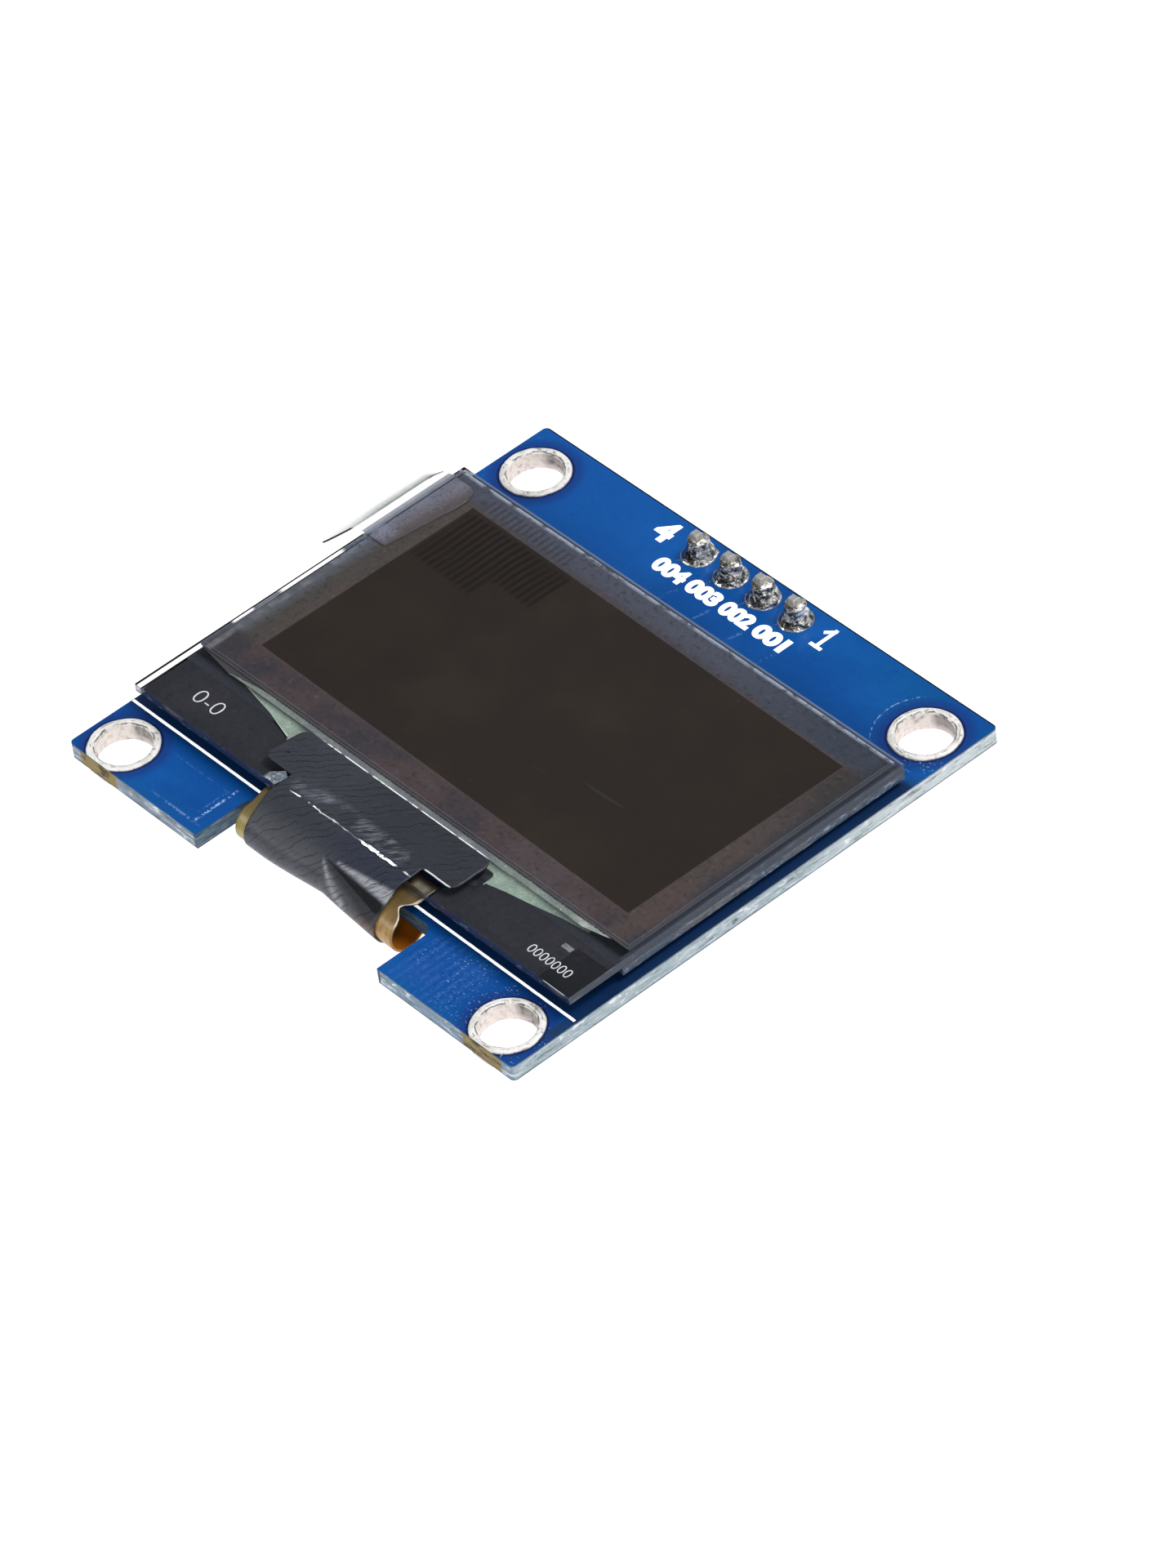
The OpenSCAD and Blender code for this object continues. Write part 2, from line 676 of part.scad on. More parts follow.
// A chip part hangs from the rear face: a body between two slightly larger metal caps
module chip_part(place, h) {
    step = 0.02;
    translate([place[0], place[1], 0]) rotate(place[2]) {
        translate([-chip_part_l / 2 + end_cap_l, step - chip_part_w / 2, step - h])
            cube([chip_part_l - 2 * end_cap_l, chip_part_w - 2 * step, h - 2 * step]);
        for (x = [-chip_part_l / 2, chip_part_l / 2 - end_cap_l])
            translate([x, -chip_part_w / 2, -h]) cube([end_cap_l, chip_part_w, h]);
    }
}

module capacitor(i) {
    color("#b58a62") chip_part(capacitor_place(i), capacitor_h);
}

module resistor(i) {
    color("#1f2023") chip_part(resistor_place(i), resistor_h);
}

// Five legged regulator: a moulded body with three legs on one side and two on the other
module voltage_regulator() {
    pitch = 0.95;
    lift = 0.1;
    leg_t = 0.15;
    shoulder = regulator_h * 0.55;
    color("#242528") translate([regulator_place[0], regulator_place[1], 0]) {
        translate([-regulator_l / 2, -regulator_w / 2, -regulator_h])
            cube([regulator_l, regulator_w, regulator_h - lift]);
        for (k = [-1, 0, 1]) regulator_leg(k * pitch, 1, shoulder, leg_t);
        for (k = [-1, 1]) regulator_leg(k * pitch, -1, shoulder, leg_t);
    }
}

// Leg bent from the body's side down to the board, seen along x as a Z
module regulator_leg(x, side, shoulder, t) {
    y0 = regulator_w / 2 - t;
    y1 = regulator_w / 2 + leg_reach / 2;
    y2 = regulator_w / 2 + leg_reach;
    translate([x - leg_w / 2, 0, 0]) rotate([90, 0, 90]) linear_extrude(leg_w) polygon([
        [side * y0, -shoulder], [side * y1, -shoulder], [side * (y1 + t), -t],
        [side * y2, -t], [side * y2, 0], [side * y1, 0],
        [side * (y1 - t), t - shoulder], [side * y0, t - shoulder]
    ]);
}

// Row of equal solder joints on the ribbon's end
module ribbon_solder() {
    pitch = (ribbon_w - 1) / ribbon_joints;
    joint_w = pitch / 2;
    color("silver") for (k = [0:ribbon_joints - 1])
        translate([ribbon_x + (k - (ribbon_joints - 1) / 2) * pitch - joint_w / 2,
                   tail_y - joint_l, -ribbon_t - joint_h])
            cube([joint_w, joint_l, joint_h]);
}

pcb();
for (i = [1:4]) hole_plating(i);
front_glass();
rear_glass();
edge_seal();
emitter_layers();
drying_sheet();
foam_tape();
polarizer();
protective_film();
pull_tab();
driver_chip();
for (i = [1:2]) ledge_mask(i);
flex_ribbon();
light_shield_tape();
header_block();
for (i = [1:pins]) header_pin(i);
for (i = [1:pins]) header_solder(i);
ribbon_solder();
voltage_regulator();
for (i = [1:capacitors]) capacitor(i);
for (i = [1:resistors]) resistor(i);
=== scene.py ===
"""Looks of the small display module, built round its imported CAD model.

Sizes and places are in millimetres of the part's frame, and mm() turns them into metres.
"""

import math

import bmesh
import bpy
import numpy as np
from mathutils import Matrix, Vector, noise


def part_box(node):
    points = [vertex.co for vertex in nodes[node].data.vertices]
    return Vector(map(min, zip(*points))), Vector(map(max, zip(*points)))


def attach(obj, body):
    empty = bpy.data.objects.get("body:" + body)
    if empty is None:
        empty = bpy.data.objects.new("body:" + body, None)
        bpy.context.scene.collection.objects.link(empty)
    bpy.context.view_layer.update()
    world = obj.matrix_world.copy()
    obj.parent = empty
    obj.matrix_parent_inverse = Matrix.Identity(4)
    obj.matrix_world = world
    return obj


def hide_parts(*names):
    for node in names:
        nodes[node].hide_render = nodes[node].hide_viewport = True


MM = 0.001
CAMERA_PLACE = (265.115, -189.481, 300.510)
CAMERA_TURN = (46.776, 5.862, 48.424)
CAMERA_LENS = 195.74

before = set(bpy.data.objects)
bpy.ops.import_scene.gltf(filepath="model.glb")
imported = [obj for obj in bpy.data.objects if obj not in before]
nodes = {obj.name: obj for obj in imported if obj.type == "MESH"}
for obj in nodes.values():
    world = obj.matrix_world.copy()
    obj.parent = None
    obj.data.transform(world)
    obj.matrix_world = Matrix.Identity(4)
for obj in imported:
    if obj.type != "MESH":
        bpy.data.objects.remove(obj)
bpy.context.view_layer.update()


class Box:
    """Corners of a CAD node, in millimetres."""

    def __init__(self, node):
        lo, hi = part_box(node)
        self.x0, self.y0, self.z0 = (v / MM for v in lo)
        self.x1, self.y1, self.z1 = (v / MM for v in hi)
        self.x, self.y = (self.x0 + self.x1) / 2, (self.y0 + self.y1) / 2


board = Box("pcb")
glass = Box("front_glass")
back_glass = Box("rear_glass")
polar = Box("polarizer")
film = Box("protective_film")
chip = Box("driver_chip")
tab = Box("pull_tab")
masks = [Box(f"ledge_mask_{i}") for i in (1, 2)]
ribbon_box = Box("flex_ribbon")
pins = [Box(f"header_pin_{i}") for i in range(1, 5)]
rings = [Box(f"hole_plating_{i}") for i in range(1, 5)]

# Tinned ring: radii of the land and the hole, and the wall of the barrel
LAND_R, HOLE_R, WALL_T = 2.0, 1.55, 0.05
holes = [(ring.x, ring.y1 - LAND_R) for ring in rings]
# Picture area on the panel: place of its middle, size and clockwise turn in degrees
PICTURE_PLACE = (polar.x + 0.4, polar.y + 0.03)
PICTURE_W, PICTURE_H = 29.46, 14.68
PICTURE_TURN = 0.7
# Tape: its middle, widths of flap and strip, gap to the polarizer, corners and slant of the flap
TAPE_X, FLAP_W, STRIP_W = -0.45, 15.1, 10.4
FLAP_GAP, FLAP_CORNER, FLAP_SLANT = 0.5, 0.55, 0.3
# Run from the tape's far edge to the flap's end and to the crease
FLAP_END, CREASE_AT = 2.72, 3.55
# Resin along the polarizer: width, and place of its left end
BEAD_W = 0.46
BEAD_START = polar.x0 + 2.8
# Pull tab: thickness, reach past the glass, length of the glued part, and its round corner
TAB_T, TAB_REACH, TAB_L, TAB_ROUND = 0.05, 1.3, 6.2, 0.95
# Reach of the tab's crease, then width and length of the flare at its near tip
TAB_CREASE, TAB_FLARE, TAB_FLARE_L = 0.52, 0.3, 2.04
# Loop of the ribbon, thickness of both sheets, and the gap between them as an offset
FOLD_R, FOLD_Y, FOLD_Z = 1.08, -13.1, 0.45
RIBBON_T, TAPE_T = 0.12, 0.08
TAPE_OFFSET = RIBBON_T / 2 + 0.03 + TAPE_T / 2
# Where the sheets start, end and meet the loop
BOND_L = 1.1
JOIN_ANGLE = 126
NOTCH_Y = board.y0 + 3.85
LAND_Y, TAPE_END_Y = NOTCH_Y + 0.75, NOTCH_Y + 1.5
# Bite in the ribbon's edge, and the conical dent of both sheets
BITE_ANGLE, BITE_W, BITE_L = 75, 0.45, 0.7
DENT_X, DENT_W, DENT_DEPTH, DENT_SHARP = 0.1, 4.8, 0.31, 1.3
INK_T = 0.012
# Floor: a little below the tips of the pins, and its width
FLOOR_Z, FLOOR_W = board.z0 - 9.6, 5000


def mm(*point):
    return Vector(point) * MM


def link(thing):
    bpy.context.scene.collection.objects.link(thing)
    return thing


# ---- Procedural materials ----


def rgb(code):
    """Linear colour of an sRGB hex code."""
    parts = [int(code[i : i + 2], 16) / 255 for i in (1, 3, 5)]
    return (*(c / 12.92 if c < 0.04045 else ((c + 0.055) / 1.055) ** 2.4 for c in parts), 1)


class Value:
    """A number that nodes work out at each point, and that takes the signs of arithmetic."""

    def __init__(self, look, socket):
        self.look, self.socket = look, socket

    def __add__(self, other):
        return self.look.sum("ADD", self, other)

    def __sub__(self, other):
        return self.look.sum("SUBTRACT", self, other)

    def __rsub__(self, other):
        return self.look.sum("SUBTRACT", other, self)

    def __mul__(self, other):
        return self.look.sum("MULTIPLY", self, other)

    def __truediv__(self, other):
        return self.look.sum("DIVIDE", self, other)

    def __abs__(self):
        return self.look.sum("ABSOLUTE", self)

    __radd__, __rmul__ = __add__, __mul__

    def line(self, low, high, start=0.0, end=1.0, kind="LINEAR"):
        """Straight ramp from start at low to end at high, and level beyond them."""
        n = self.look.node("ShaderNodeMapRange")
        n.interpolation_type = kind
        for socket, v in zip(n.inputs, (self, low, high, start, end)):
            self.look.put(socket, v)
        return Value(self.look, n.outputs[0])

    def ramp(self, low, high, start=0.0, end=1.0):
        """Smooth step from start at low to end at high; high may be below low."""
        if high < low:
            low, high, start, end = high, low, end, start
        return self.line(low, high, start, end, "SMOOTHSTEP")

    def within(self, low, high, soft=0.05):
        """1 between low and high, with soft edges."""
        return self.ramp(low - soft, low + soft) * self.ramp(high + soft, high - soft)

    def specks(self, *tones):
        """Coats of a noise: each tone has a colour, where it starts, where it is full, and its share."""
        return [(colour, self.ramp(start, full) * share) for colour, start, full, share in tones]

    def waves(self, length, low=0.0, high=1.0):
        """Sine with that wavelength, between low and high."""
        turn = self.look.sum("SINE", self * (2 * math.pi / length))
        return turn * ((high - low) / 2) + (high + low) / 2


class Look:
    """A node material that is written as sums on the place of a point, in millimetres."""

    def __init__(self, name, rough=0.5, metal=0.0, specular=0.5):
        self.material = bpy.data.materials.new(name)
        self.material.use_nodes = True
        self.tree = self.material.node_tree
        self.shader = self.tree.nodes["Principled BSDF"].inputs
        for key, value in (("Roughness", rough), ("Metallic", metal), ("Specular IOR Level", specular)):
            self.shader[key].default_value = value
        coordinates = self.node("ShaderNodeTexCoord").outputs["Object"]
        self.place = self.scaled(coordinates, (1 / MM,) * 3)
        self.x, self.y, self.z = self.split(self.place)
        facing = self.node("ShaderNodeNewGeometry").outputs["True Normal"]
        self.nx, self.ny, self.nz = self.split(facing)
        self.normal = None

    def node(self, kind):
        return self.tree.nodes.new(kind)

    def put(self, socket, value):
        value = getattr(value, "socket", value)
        if isinstance(value, bpy.types.NodeSocket):
            self.tree.links.new(value, socket)
        else:
            socket.default_value = value

    def split(self, vector):
        n = self.node("ShaderNodeSeparateXYZ")
        self.put(n.inputs[0], vector)
        return [Value(self, part) for part in n.outputs]

    def scaled(self, vector, by=(1, 1, 1), move=(0, 0, 0), turn=0.0):
        """Vector after scaling, a turn about z in degrees and a move."""
        n = self.node("ShaderNodeMapping")
        self.put(n.inputs["Vector"], vector)
        n.inputs["Scale"].default_value = by
        n.inputs["Location"].default_value = move
        n.inputs["Rotation"].default_value = (0, 0, math.radians(turn))
        return n.outputs[0]

    def attribute(self, name):
        """Vector that is stored at the points of the mesh."""
        n = self.node("ShaderNodeAttribute")
        n.attribute_name = name
        return n.outputs["Vector"]

    def sum(self, operation, *values):
        n = self.node("ShaderNodeMath")
        n.operation = operation
        for socket, value in zip(n.inputs, values):
            self.put(socket, value)
        return Value(self, n.outputs[0])

    def most(self, *values):
        total = values[0]
        for value in values[1:]:
            total = self.sum("MAXIMUM", total, value)
        return total

    def distance(self, u, v):
        return self.sum("SQRT", u * u + v * v)

    def inside(self, x0, x1, y0, y1, soft=0.05):
        """1 within a rectangle of the plan."""
        return self.x.within(x0, x1, soft) * self.y.within(y0, y1, soft)

    def ring(self, x, y, low, high, soft=0.05):
        """1 between two radii about a point of the plan."""
        return self.distance(self.x - x, self.y - y).within(low, high, soft)

    def stroke(self, u, v, start, end, half, soft=0.05):
        """1 on a line in the plane of u and v; half gives its half width at both ends."""
        du, dv = end[0] - start[0], end[1] - start[1]
        su, sv = u - start[0], v - start[1]
        t = ((su * du + sv * dv) / (du * du + dv * dv)).line(0, 1)
        away = self.distance(t * -du + su, t * -dv + sv)
        return (away - (t * (half[1] - half[0]) + half[0])).ramp(soft, -soft)

    def turned(self, x, y, angle):
        """Coordinates about (x, y) on axes turned clockwise by the angle, in degrees."""
        c, s = math.cos(math.radians(angle)), math.sin(math.radians(angle))
        dx, dy = self.x - x, self.y - y
        return dx * c - dy * s, dx * s + dy * c

    def grain(self, per_mm, detail=3, seed=0, stretch=(1, 1, 1), of=None, rough=0.5):
        """Noise from 0 to 1 with per_mm features in a millimetre."""
        n = self.node("ShaderNodeTexNoise")
        scale = tuple(per_mm * s for s in stretch)
        self.put(n.inputs["Vector"], self.scaled(of or self.place, scale, (seed, 2 * seed, 3 * seed)))
        for key, value in (("Scale", 1), ("Detail", detail), ("Roughness", rough)):
            n.inputs[key].default_value = value
        return Value(self, n.outputs[0])

    def dots(self, per_mm, size, seed=0):
        """Round specks: 1 in their middles."""
        n = self.node("ShaderNodeTexVoronoi")
        self.put(n.inputs["Vector"], self.scaled(self.place, (per_mm,) * 3, (seed,) * 3))
        n.inputs["Scale"].default_value = 1
        return Value(self, n.outputs["Distance"]).ramp(size, size * 0.4)

    def layers(self, base, *coats):
        """Coats of a colour and its share over a base; a colour is a hex code or a socket."""
        for colour, share in coats:
            n = self.node("ShaderNodeMix")
            n.data_type = "RGBA"
            self.put(n.inputs["Factor"], share)
            for key, paint in (("A", base), ("B", colour)):
                self.put(n.inputs[key], rgb(paint) if isinstance(paint, str) else paint)
            base = n.outputs["Result"]
        return base

    def coloured(self, base, *coats):
        self.put(self.shader["Base Color"], self.layers(base, *coats))

    def roughened(self, value):
        self.put(self.shader["Roughness"], value)

    def glows(self, strength):
        """White light of the surface's own, for what the exposure burns out in the photograph."""
        self.put(self.shader["Emission Color"], (1, 1, 1, 1))
        self.put(self.shader["Emission Strength"], strength)

    def bumped(self, height, depth, strength=1.0):
        """Relief of depth millimetres where height goes from 0 to 1."""
        n = self.node("ShaderNodeBump")
        n.inputs["Distance"].default_value = depth * MM
        n.inputs["Strength"].default_value = strength
        self.put(n.inputs["Height"], height)
        if self.normal:
            self.put(n.inputs["Normal"], self.normal)
        self.normal = n.outputs[0]
        self.put(self.shader["Normal"], self.normal)
        return self

    def see_through(self, share):
        """Lets that share of the light straight through; the rest meets the shader."""
        mix = self.node("ShaderNodeMixShader")
        self.put(mix.inputs["Fac"], share)
        self.put(mix.inputs[1], self.tree.nodes["Principled BSDF"].outputs[0])
        self.put(mix.inputs[2], self.node("ShaderNodeBsdfTransparent").outputs[0])
        self.put(self.tree.nodes["Material Output"].inputs["Surface"], mix.outputs[0])
        return self


def mottled(name, colours, spots, relief, rough=0.5, specular=0.5):
    """Plain finish: spots of a second colour and a fine relief.

    spots: features in a millimetre, detail, seed, and where the second colour starts and is full;
    relief: features in a millimetre, detail, seed, depth and strength.
    """
    k = Look(name, rough=rough, specular=specular)
    k.coloured(colours[0], (colours[1], k.grain(*spots[:3]).ramp(*spots[3:])))
    return k.bumped(k.grain(*relief[:3]), *relief[3:])


def solder_mask():
    """Blue mask on both faces, bare glass fibre on the edges."""
    k = Look("solder_mask", specular=0.2)
    cloud = k.grain(0.16, seed=3)
    patch = k.grain(0.7, detail=4, seed=21, rough=0.6)
    fine = k.grain(6.5, seed=11, rough=0.6)
    front = k.nz.ramp(0.4, 0.6)
    far_right = k.x.ramp(4, board.x1) * k.y.ramp(glass.y1, board.y1)
    mask = k.layers(
        "#064f9c",
        ("#0e5bac", cloud.ramp(0.42, 0.68)),
        ("#034c9a", patch.ramp(0.45, 0.75) * 0.7),
        ("#125aab", k.x.ramp(0, -6) * k.y.ramp(glass.y1, glass.y1 + 1) * 0.6),
        ("#00548e", far_right * cloud.ramp(0.35, 0.6) * 0.8),
        ("#0b5ba2", k.y.ramp(board.y0 + 1.6, board.y0) * 0.5),
    )
    # Edges of the copper under the mask: tracks by the header, an outline on a tab, halos; their raised
    # relief is real, and their pale dotted colour is a painted glint
    glint = k.grain(5.5, seed=41).ramp(0.46, 0.58)
    tracks = 0
    for pin in pins:
        for x, y0, y1 in ((pin.x + 0.9, 12.1, 13.2), (pin.x - 0.55, 14.6, 15.3)):
            line = k.stroke(k.x, k.y, (x, y0), (x + 0.25, y1), (0.05, 0.1))
            tracks = k.most(tracks, line)
    tab_outline = k.most(
        k.x.within(-8.2, -8.05, 0.04) * k.y.within(-15.6, -12.6, 0.1),
        k.y.within(-15.7, -15.55, 0.04) * k.x.within(-11, -8.05, 0.9) * 0.35,
        k.y.within(-13.05, -12.95, 0.04) * k.x.within(-13, -8.05, 0.2) * 0.1,
        k.x.within(-8.5, -8.42, 0.04) * k.y.within(-14.9, -13.2, 0.3) * 0.4,
    )
    halos, shades, outlines = 0, 0, 0
    for x, y in holes:
        strong = k.x.ramp(x - 1.75, x - 2.05) * (1 if x > 0 else 0.15)
        if y > 0:
            halos = k.most(halos, k.ring(x, y, 2.84, 2.89, 0.04) * strong)
        shades = k.most(shades, k.ring(x, y, -1, 2.6, 0.35))
        outlines = k.most(outlines, k.ring(x, y, 1.95, 2.13, 0.03))
    specks = k.grain(7, detail=1, seed=4).ramp(0.64, 0.7)
    below_last_hole = k.y.ramp(13.9, 13) * k.x.ramp(holes[3][0] + 0.4, holes[3][0] + 1.2)
    worn = k.most(
        k.ring(*holes[1], 1.9, 3.1, 0.3) * k.grain(0.8, seed=51).ramp(0.45, 0.6),
        k.inside(11, 13.6, -16.2, -12.2, 0.4) * 0.45,
        k.inside(8, 11, -14.5, -12.4, 0.4) * k.grain(0.9, seed=9).ramp(0.45, 0.6),
        k.ring(*holes[3], 1.9, 2.8, 0.3) * below_last_hole,
    )
    columns = k.x.waves(0.52) * k.inside(7.6, 12, -16, -12.2, 0.5) * fine.ramp(0.4, 0.6)
    mask = k.layers(
        mask,
        ("#17327c", shades * 0.65),
        ("#0c1a48", outlines * 0.8),
        ("#3a6cb8", columns * 0.6),
        ("#2c55a6", k.inside(8.2, 12.2, -15.6, -12.6, 0.6) * cloud.ramp(0.3, 0.7) * 0.5),
        ("#5585cc", front * tracks * glint * 0.7),
        ("#a9c8f4", front * k.most(halos, tab_outline) * glint * 0.85),
        ("#b9d2f2", front * worn * specks * 0.8),
        *fine.specks(("#2f77c0", 0.62, 0.78, 0.4), ("#023a7c", 0.42, 0.26, 0.5)),
    )
    # The strip beside the panel and the part below the ledge lie in shade
    beside = k.x.ramp(glass.x1 - 0.3, glass.x1 - 0.05) * k.y.within(glass.y0 - 2, glass.y1 + 0.4, 0.6)
    below_ledge = k.y.ramp(glass.y0 - 0.45, glass.y0 + 0.15) * k.y.ramp(glass.y1 + 0.2, glass.y1 - 0.1)
    mask = k.layers(
        mask,
        ("#1d3a62", front * beside * patch.ramp(0.35, 0.6, 0.6, 1)),
        ("#10294f", front * below_ledge * 0.85),
        ("#04070d", k.y.ramp(board.y1 - 0.1, board.y1 - 0.06)),
    )
    # Glass fibre edge: woven streaks along the board with a dark line under each face; the near faces are
    # painted darker as shade, and the faces towards +x paler as painted light
    streak = k.grain(1.3, detail=5, seed=2, stretch=(0.5, 0.5, 4.5), rough=0.7)
    patches = k.grain(1.1, detail=4, seed=8, stretch=(1, 1, 2.5), rough=0.65)
    near_face_shade = k.ny.ramp(-0.5, -0.9)
    # Walls of the notch by the ribbon: painted shade, dark blue-grey
    inner = abs(k.x).ramp(7.5, 7.4) * k.y.ramp(-12, -12.2)
    fibre = k.layers(
        "#a3b2ba",
        ("#7d93a8", near_face_shade * k.x.ramp(0, 9)),
        ("#8090a2", near_face_shade * k.x.ramp(0, -7)),
        ("#d3dadc", k.nx.ramp(0.5, 0.9) * k.y.ramp(0, 15) * 0.7),
        *streak.specks(("#dfe8ec", 0.52, 0.66, 0.8), ("#5d686a", 0.46, 0.34, 0.9)),
        *patches.specks(("#f4f8fa", 0.58, 0.68, 0.8), ("#3e474b", 0.4, 0.3, 0.75)),
    )
    below_holes = abs(k.x).within(holes[1][0] - 1.5, holes[1][0] + 1.5, 0.2)
    hole_patch = below_holes * k.y.ramp(board.y0 + 0.1, board.y0 + 0.03)
    rims = k.most(k.z.ramp(board.z1 - 0.13, board.z1 - 0.05), k.z.ramp(0.13, 0.05))
    fibre = k.layers(
        fibre,
        ("#34495c", inner * streak.ramp(0.3, 0.6, 1, 0.75)),
        ("#2f5573", inner * patches.ramp(0.5, 0.35)),
        ("#8f7c48", hole_patch * streak.ramp(0.3, 0.45)),
        ("#4a4226", hole_patch * patches.ramp(0.5, 0.38)),
        ("#3c4f5c", rims * 0.7),
    )
    flat = abs(k.nz).ramp(0.4, 0.6)
    k.coloured(fibre, (mask, flat))
    k.roughened(flat.line(0, 1, 0.6, 0.3))
    relief = k.most(tracks * 0.9, halos, worn * specks)
    k.bumped(flat * relief, 0.03, 0.7)
    k.bumped(flat * fine, 0.006, 0.5)
    return k.bumped((1 - flat) * streak, 0.05, 0.8)


def solder_tin():
    """Bright solder: smooth dark drop to the front, crinkled silver ridge behind; the silver is a painted
    highlight on the side that faces the key lamp, and the bright ring at the foot a painted glint.
    """
    k = Look("solder_tin", rough=0.2, metal=0.95)
    crinkle = k.grain(2.8, detail=5, seed=6, rough=0.62)
    # Side that faces the key lamp, where the silver crinkles are a painted highlight
    back = (k.nx * 0.55 + k.ny * 0.83).ramp(-0.35, 0.25)
    lines = abs(k.grain(1.7, seed=17) - 0.5).ramp(0.04, 0)
    k.coloured(
        "#8c8a86",
        ("#f4f3f0", back * crinkle.ramp(0.4, 0.55)),
        ("#3b3a38", crinkle.ramp(0.5, 0.34) * 0.85),
        ("#3a3836", lines * 0.6),
        ("#e8e7e3", k.z.ramp(board.z1 + 0.1, board.z1 + 0.02)),
    )
    k.roughened(back.line(0, 1, 0.14, 0.34))
    return k.bumped(crinkle * (back * 0.75 + 0.25), 0.14, 0.7)


def ring_tin():
    """Tinned ring: silver white flange, and a barrel with painted shade on its far side and a faint painted
    glow on the rest of its wall; dark lines at the lip and in a groove are painted shade.
    """
    k = Look("ring_tin", specular=0.6)
    crinkle = k.grain(3.2, detail=5, seed=14, rough=0.65)
    lump = k.grain(1.2, seed=31)
    top = board.z1
    wall = k.z.ramp(top + 0.03, top - 0.05)
    across = k.nx * -0.589 + k.ny * -0.808
    shaded = wall * across.ramp(0.2, 0.55) * k.z.ramp(0.1, 0.5, 0.4, 1)
    radius = k.distance(abs(k.x) - rings[3].x, abs(k.y) - rings[3].y)
    broken = k.grain(1.7, seed=61).ramp(0.4, 0.54)
    wobble = k.grain(1.5, seed=71) * 0.22 - 0.11
    bent = radius + wobble
    lip = bent.within(1.575, 1.635, 0.025) * broken
    groove = bent.within(1.76, 1.81, 0.025) * k.grain(2.1, seed=81).ramp(0.5, 0.62)
    rim = bent.ramp(1.94, 2) * k.grain(2.6, seed=91).ramp(0.42, 0.6)
    k.coloured(
        "#fbf9f6",
        ("#dcd8d2", lump.ramp(0.45, 0.65) * 0.7),
        ("#8a857f", crinkle.ramp(0.45, 0.32) * 0.85),
        ("#f3e8e1", wall),
        ("#b9aea8", wall * crinkle.ramp(0.45, 0.65) * 0.5),
        ("#5d5553", shaded * crinkle.ramp(0.3, 0.6, 0.95, 0.6)),
        ("#57524e", k.most(lip, groove * 0.75, rim * 0.55)),
    )
    k.glows(wall * (1 - shaded) * 0.04)
    return k.bumped(crinkle, 0.06, 0.6)


def panel_glass():
    """Thin clear glass: see-through faces with a faint haze, and ground edges with painted shade, glints
    and dark lines.
    """
    k = Look("panel_glass", rough=0.08, specular=0.3)
    haze = k.grain(0.6, detail=4, seed=7)
    flat = abs(k.nz).ramp(0.4, 0.6)
    side = 1 - flat
    # Black painted on the left side face and along the left arris of the top face: the ground arris,
    # darkened as painted shade where refraction turns the edge dark
    left = side * k.x.ramp(glass.x0 + 0.03, glass.x0 + 0.01)
    near = side * k.y.ramp(glass.y0 + 0.03, glass.y0 + 0.01)
    chips = k.grain(1.3, detail=4, seed=19, stretch=(1, 1, 3))
    arris = k.x.ramp(glass.x0 + 0.17, glass.x0 + 0.14)
    marks = 0
    # Wear at the far left corner: start and end of each mark from the corner, and its half widths
    for start, end, half in (
        ((0.05, -0.75), (0.05, -0.45), (0.06, 0.08)),
        ((0.1, -0.14), (0.14, -0.08), (0.13, 0.11)),
        ((0.3, -0.05), (0.6, -0.05), (0.05, 0.02)),
    ):
        marks = k.most(marks, k.stroke(k.x - glass.x0, k.y - glass.y1, start, end, half, 0.03))
    arris = k.most(arris * k.y.ramp(tab.y1 - TAB_L + 0.2, tab.y1 - TAB_L - 0.1), marks)
    # Brown resin over the ribbon's bond, on the near face
    resin = near * k.x.within(ribbon_box.x1 - 1.5, ribbon_box.x1 + 0.1, 0.1)
    # The near face is painted bright at its left corner, as light seen through the glass, with painted dark
    # outlines, and has a painted glint along its top at the right
    corner = near * k.x.ramp(glass.x0 + 0.5, glass.x0 + 0.35)
    outline = corner * k.most(
        k.z.ramp(glass.z0 + 0.12, glass.z0 + 0.08),
        k.z.ramp(glass.z1 - 0.08, glass.z1 - 0.05),
        k.x.ramp(glass.x0 + 0.08, glass.x0 + 0.05),
    )
    upper = k.z.line(glass.z0, glass.z1)
    # The near face is painted darker as shade and paler towards its top, and a pale stripe along the far
    # edge of the top face is a painted highlight
    k.coloured(
        "#4c5260",
        ("#464e5e", side),
        ("#242d44", near),
        ("#36405c", near * upper * haze.ramp(0.4, 0.6, 0.3, 1)),
        ("#8d99ab", side * chips.ramp(0.56, 0.72) * 0.4),
        ("#c9cede", corner * 0.9),
        ("#07080b", k.most(left, flat * arris, outline)),
        ("#9ba8be", flat * k.y.ramp(glass.y1 - 0.2, glass.y1 - 0.02) * (1 - marks)),
        ("#dfe4ee", near * k.x.within(15.3, 16.9, 0.1) * k.z.ramp(glass.z1 - 0.1, glass.z1 - 0.05)),
        ("#4a4036", resin),
    )
    on_panel = k.y.ramp(back_glass.y0, back_glass.y0 + 0.2)
    beyond = k.most(k.y.ramp(polar.y1 + 0.02, polar.y1 + 0.06), k.x.ramp(polar.x1, polar.x1 + 0.05))
    clear_flat = haze.ramp(0.4, 0.7, 0.99, 0.97) - on_panel * beyond * 0.5 - arris * 0.97
    clear_side = 0.35 + left * k.z.ramp(glass.z1 - 0.1, glass.z1 - 0.14) * 0.63
    clear_side = clear_side * (1 - near * 0.75) * (1 - resin)
    return k.see_through(flat * clear_flat + side * clear_side)


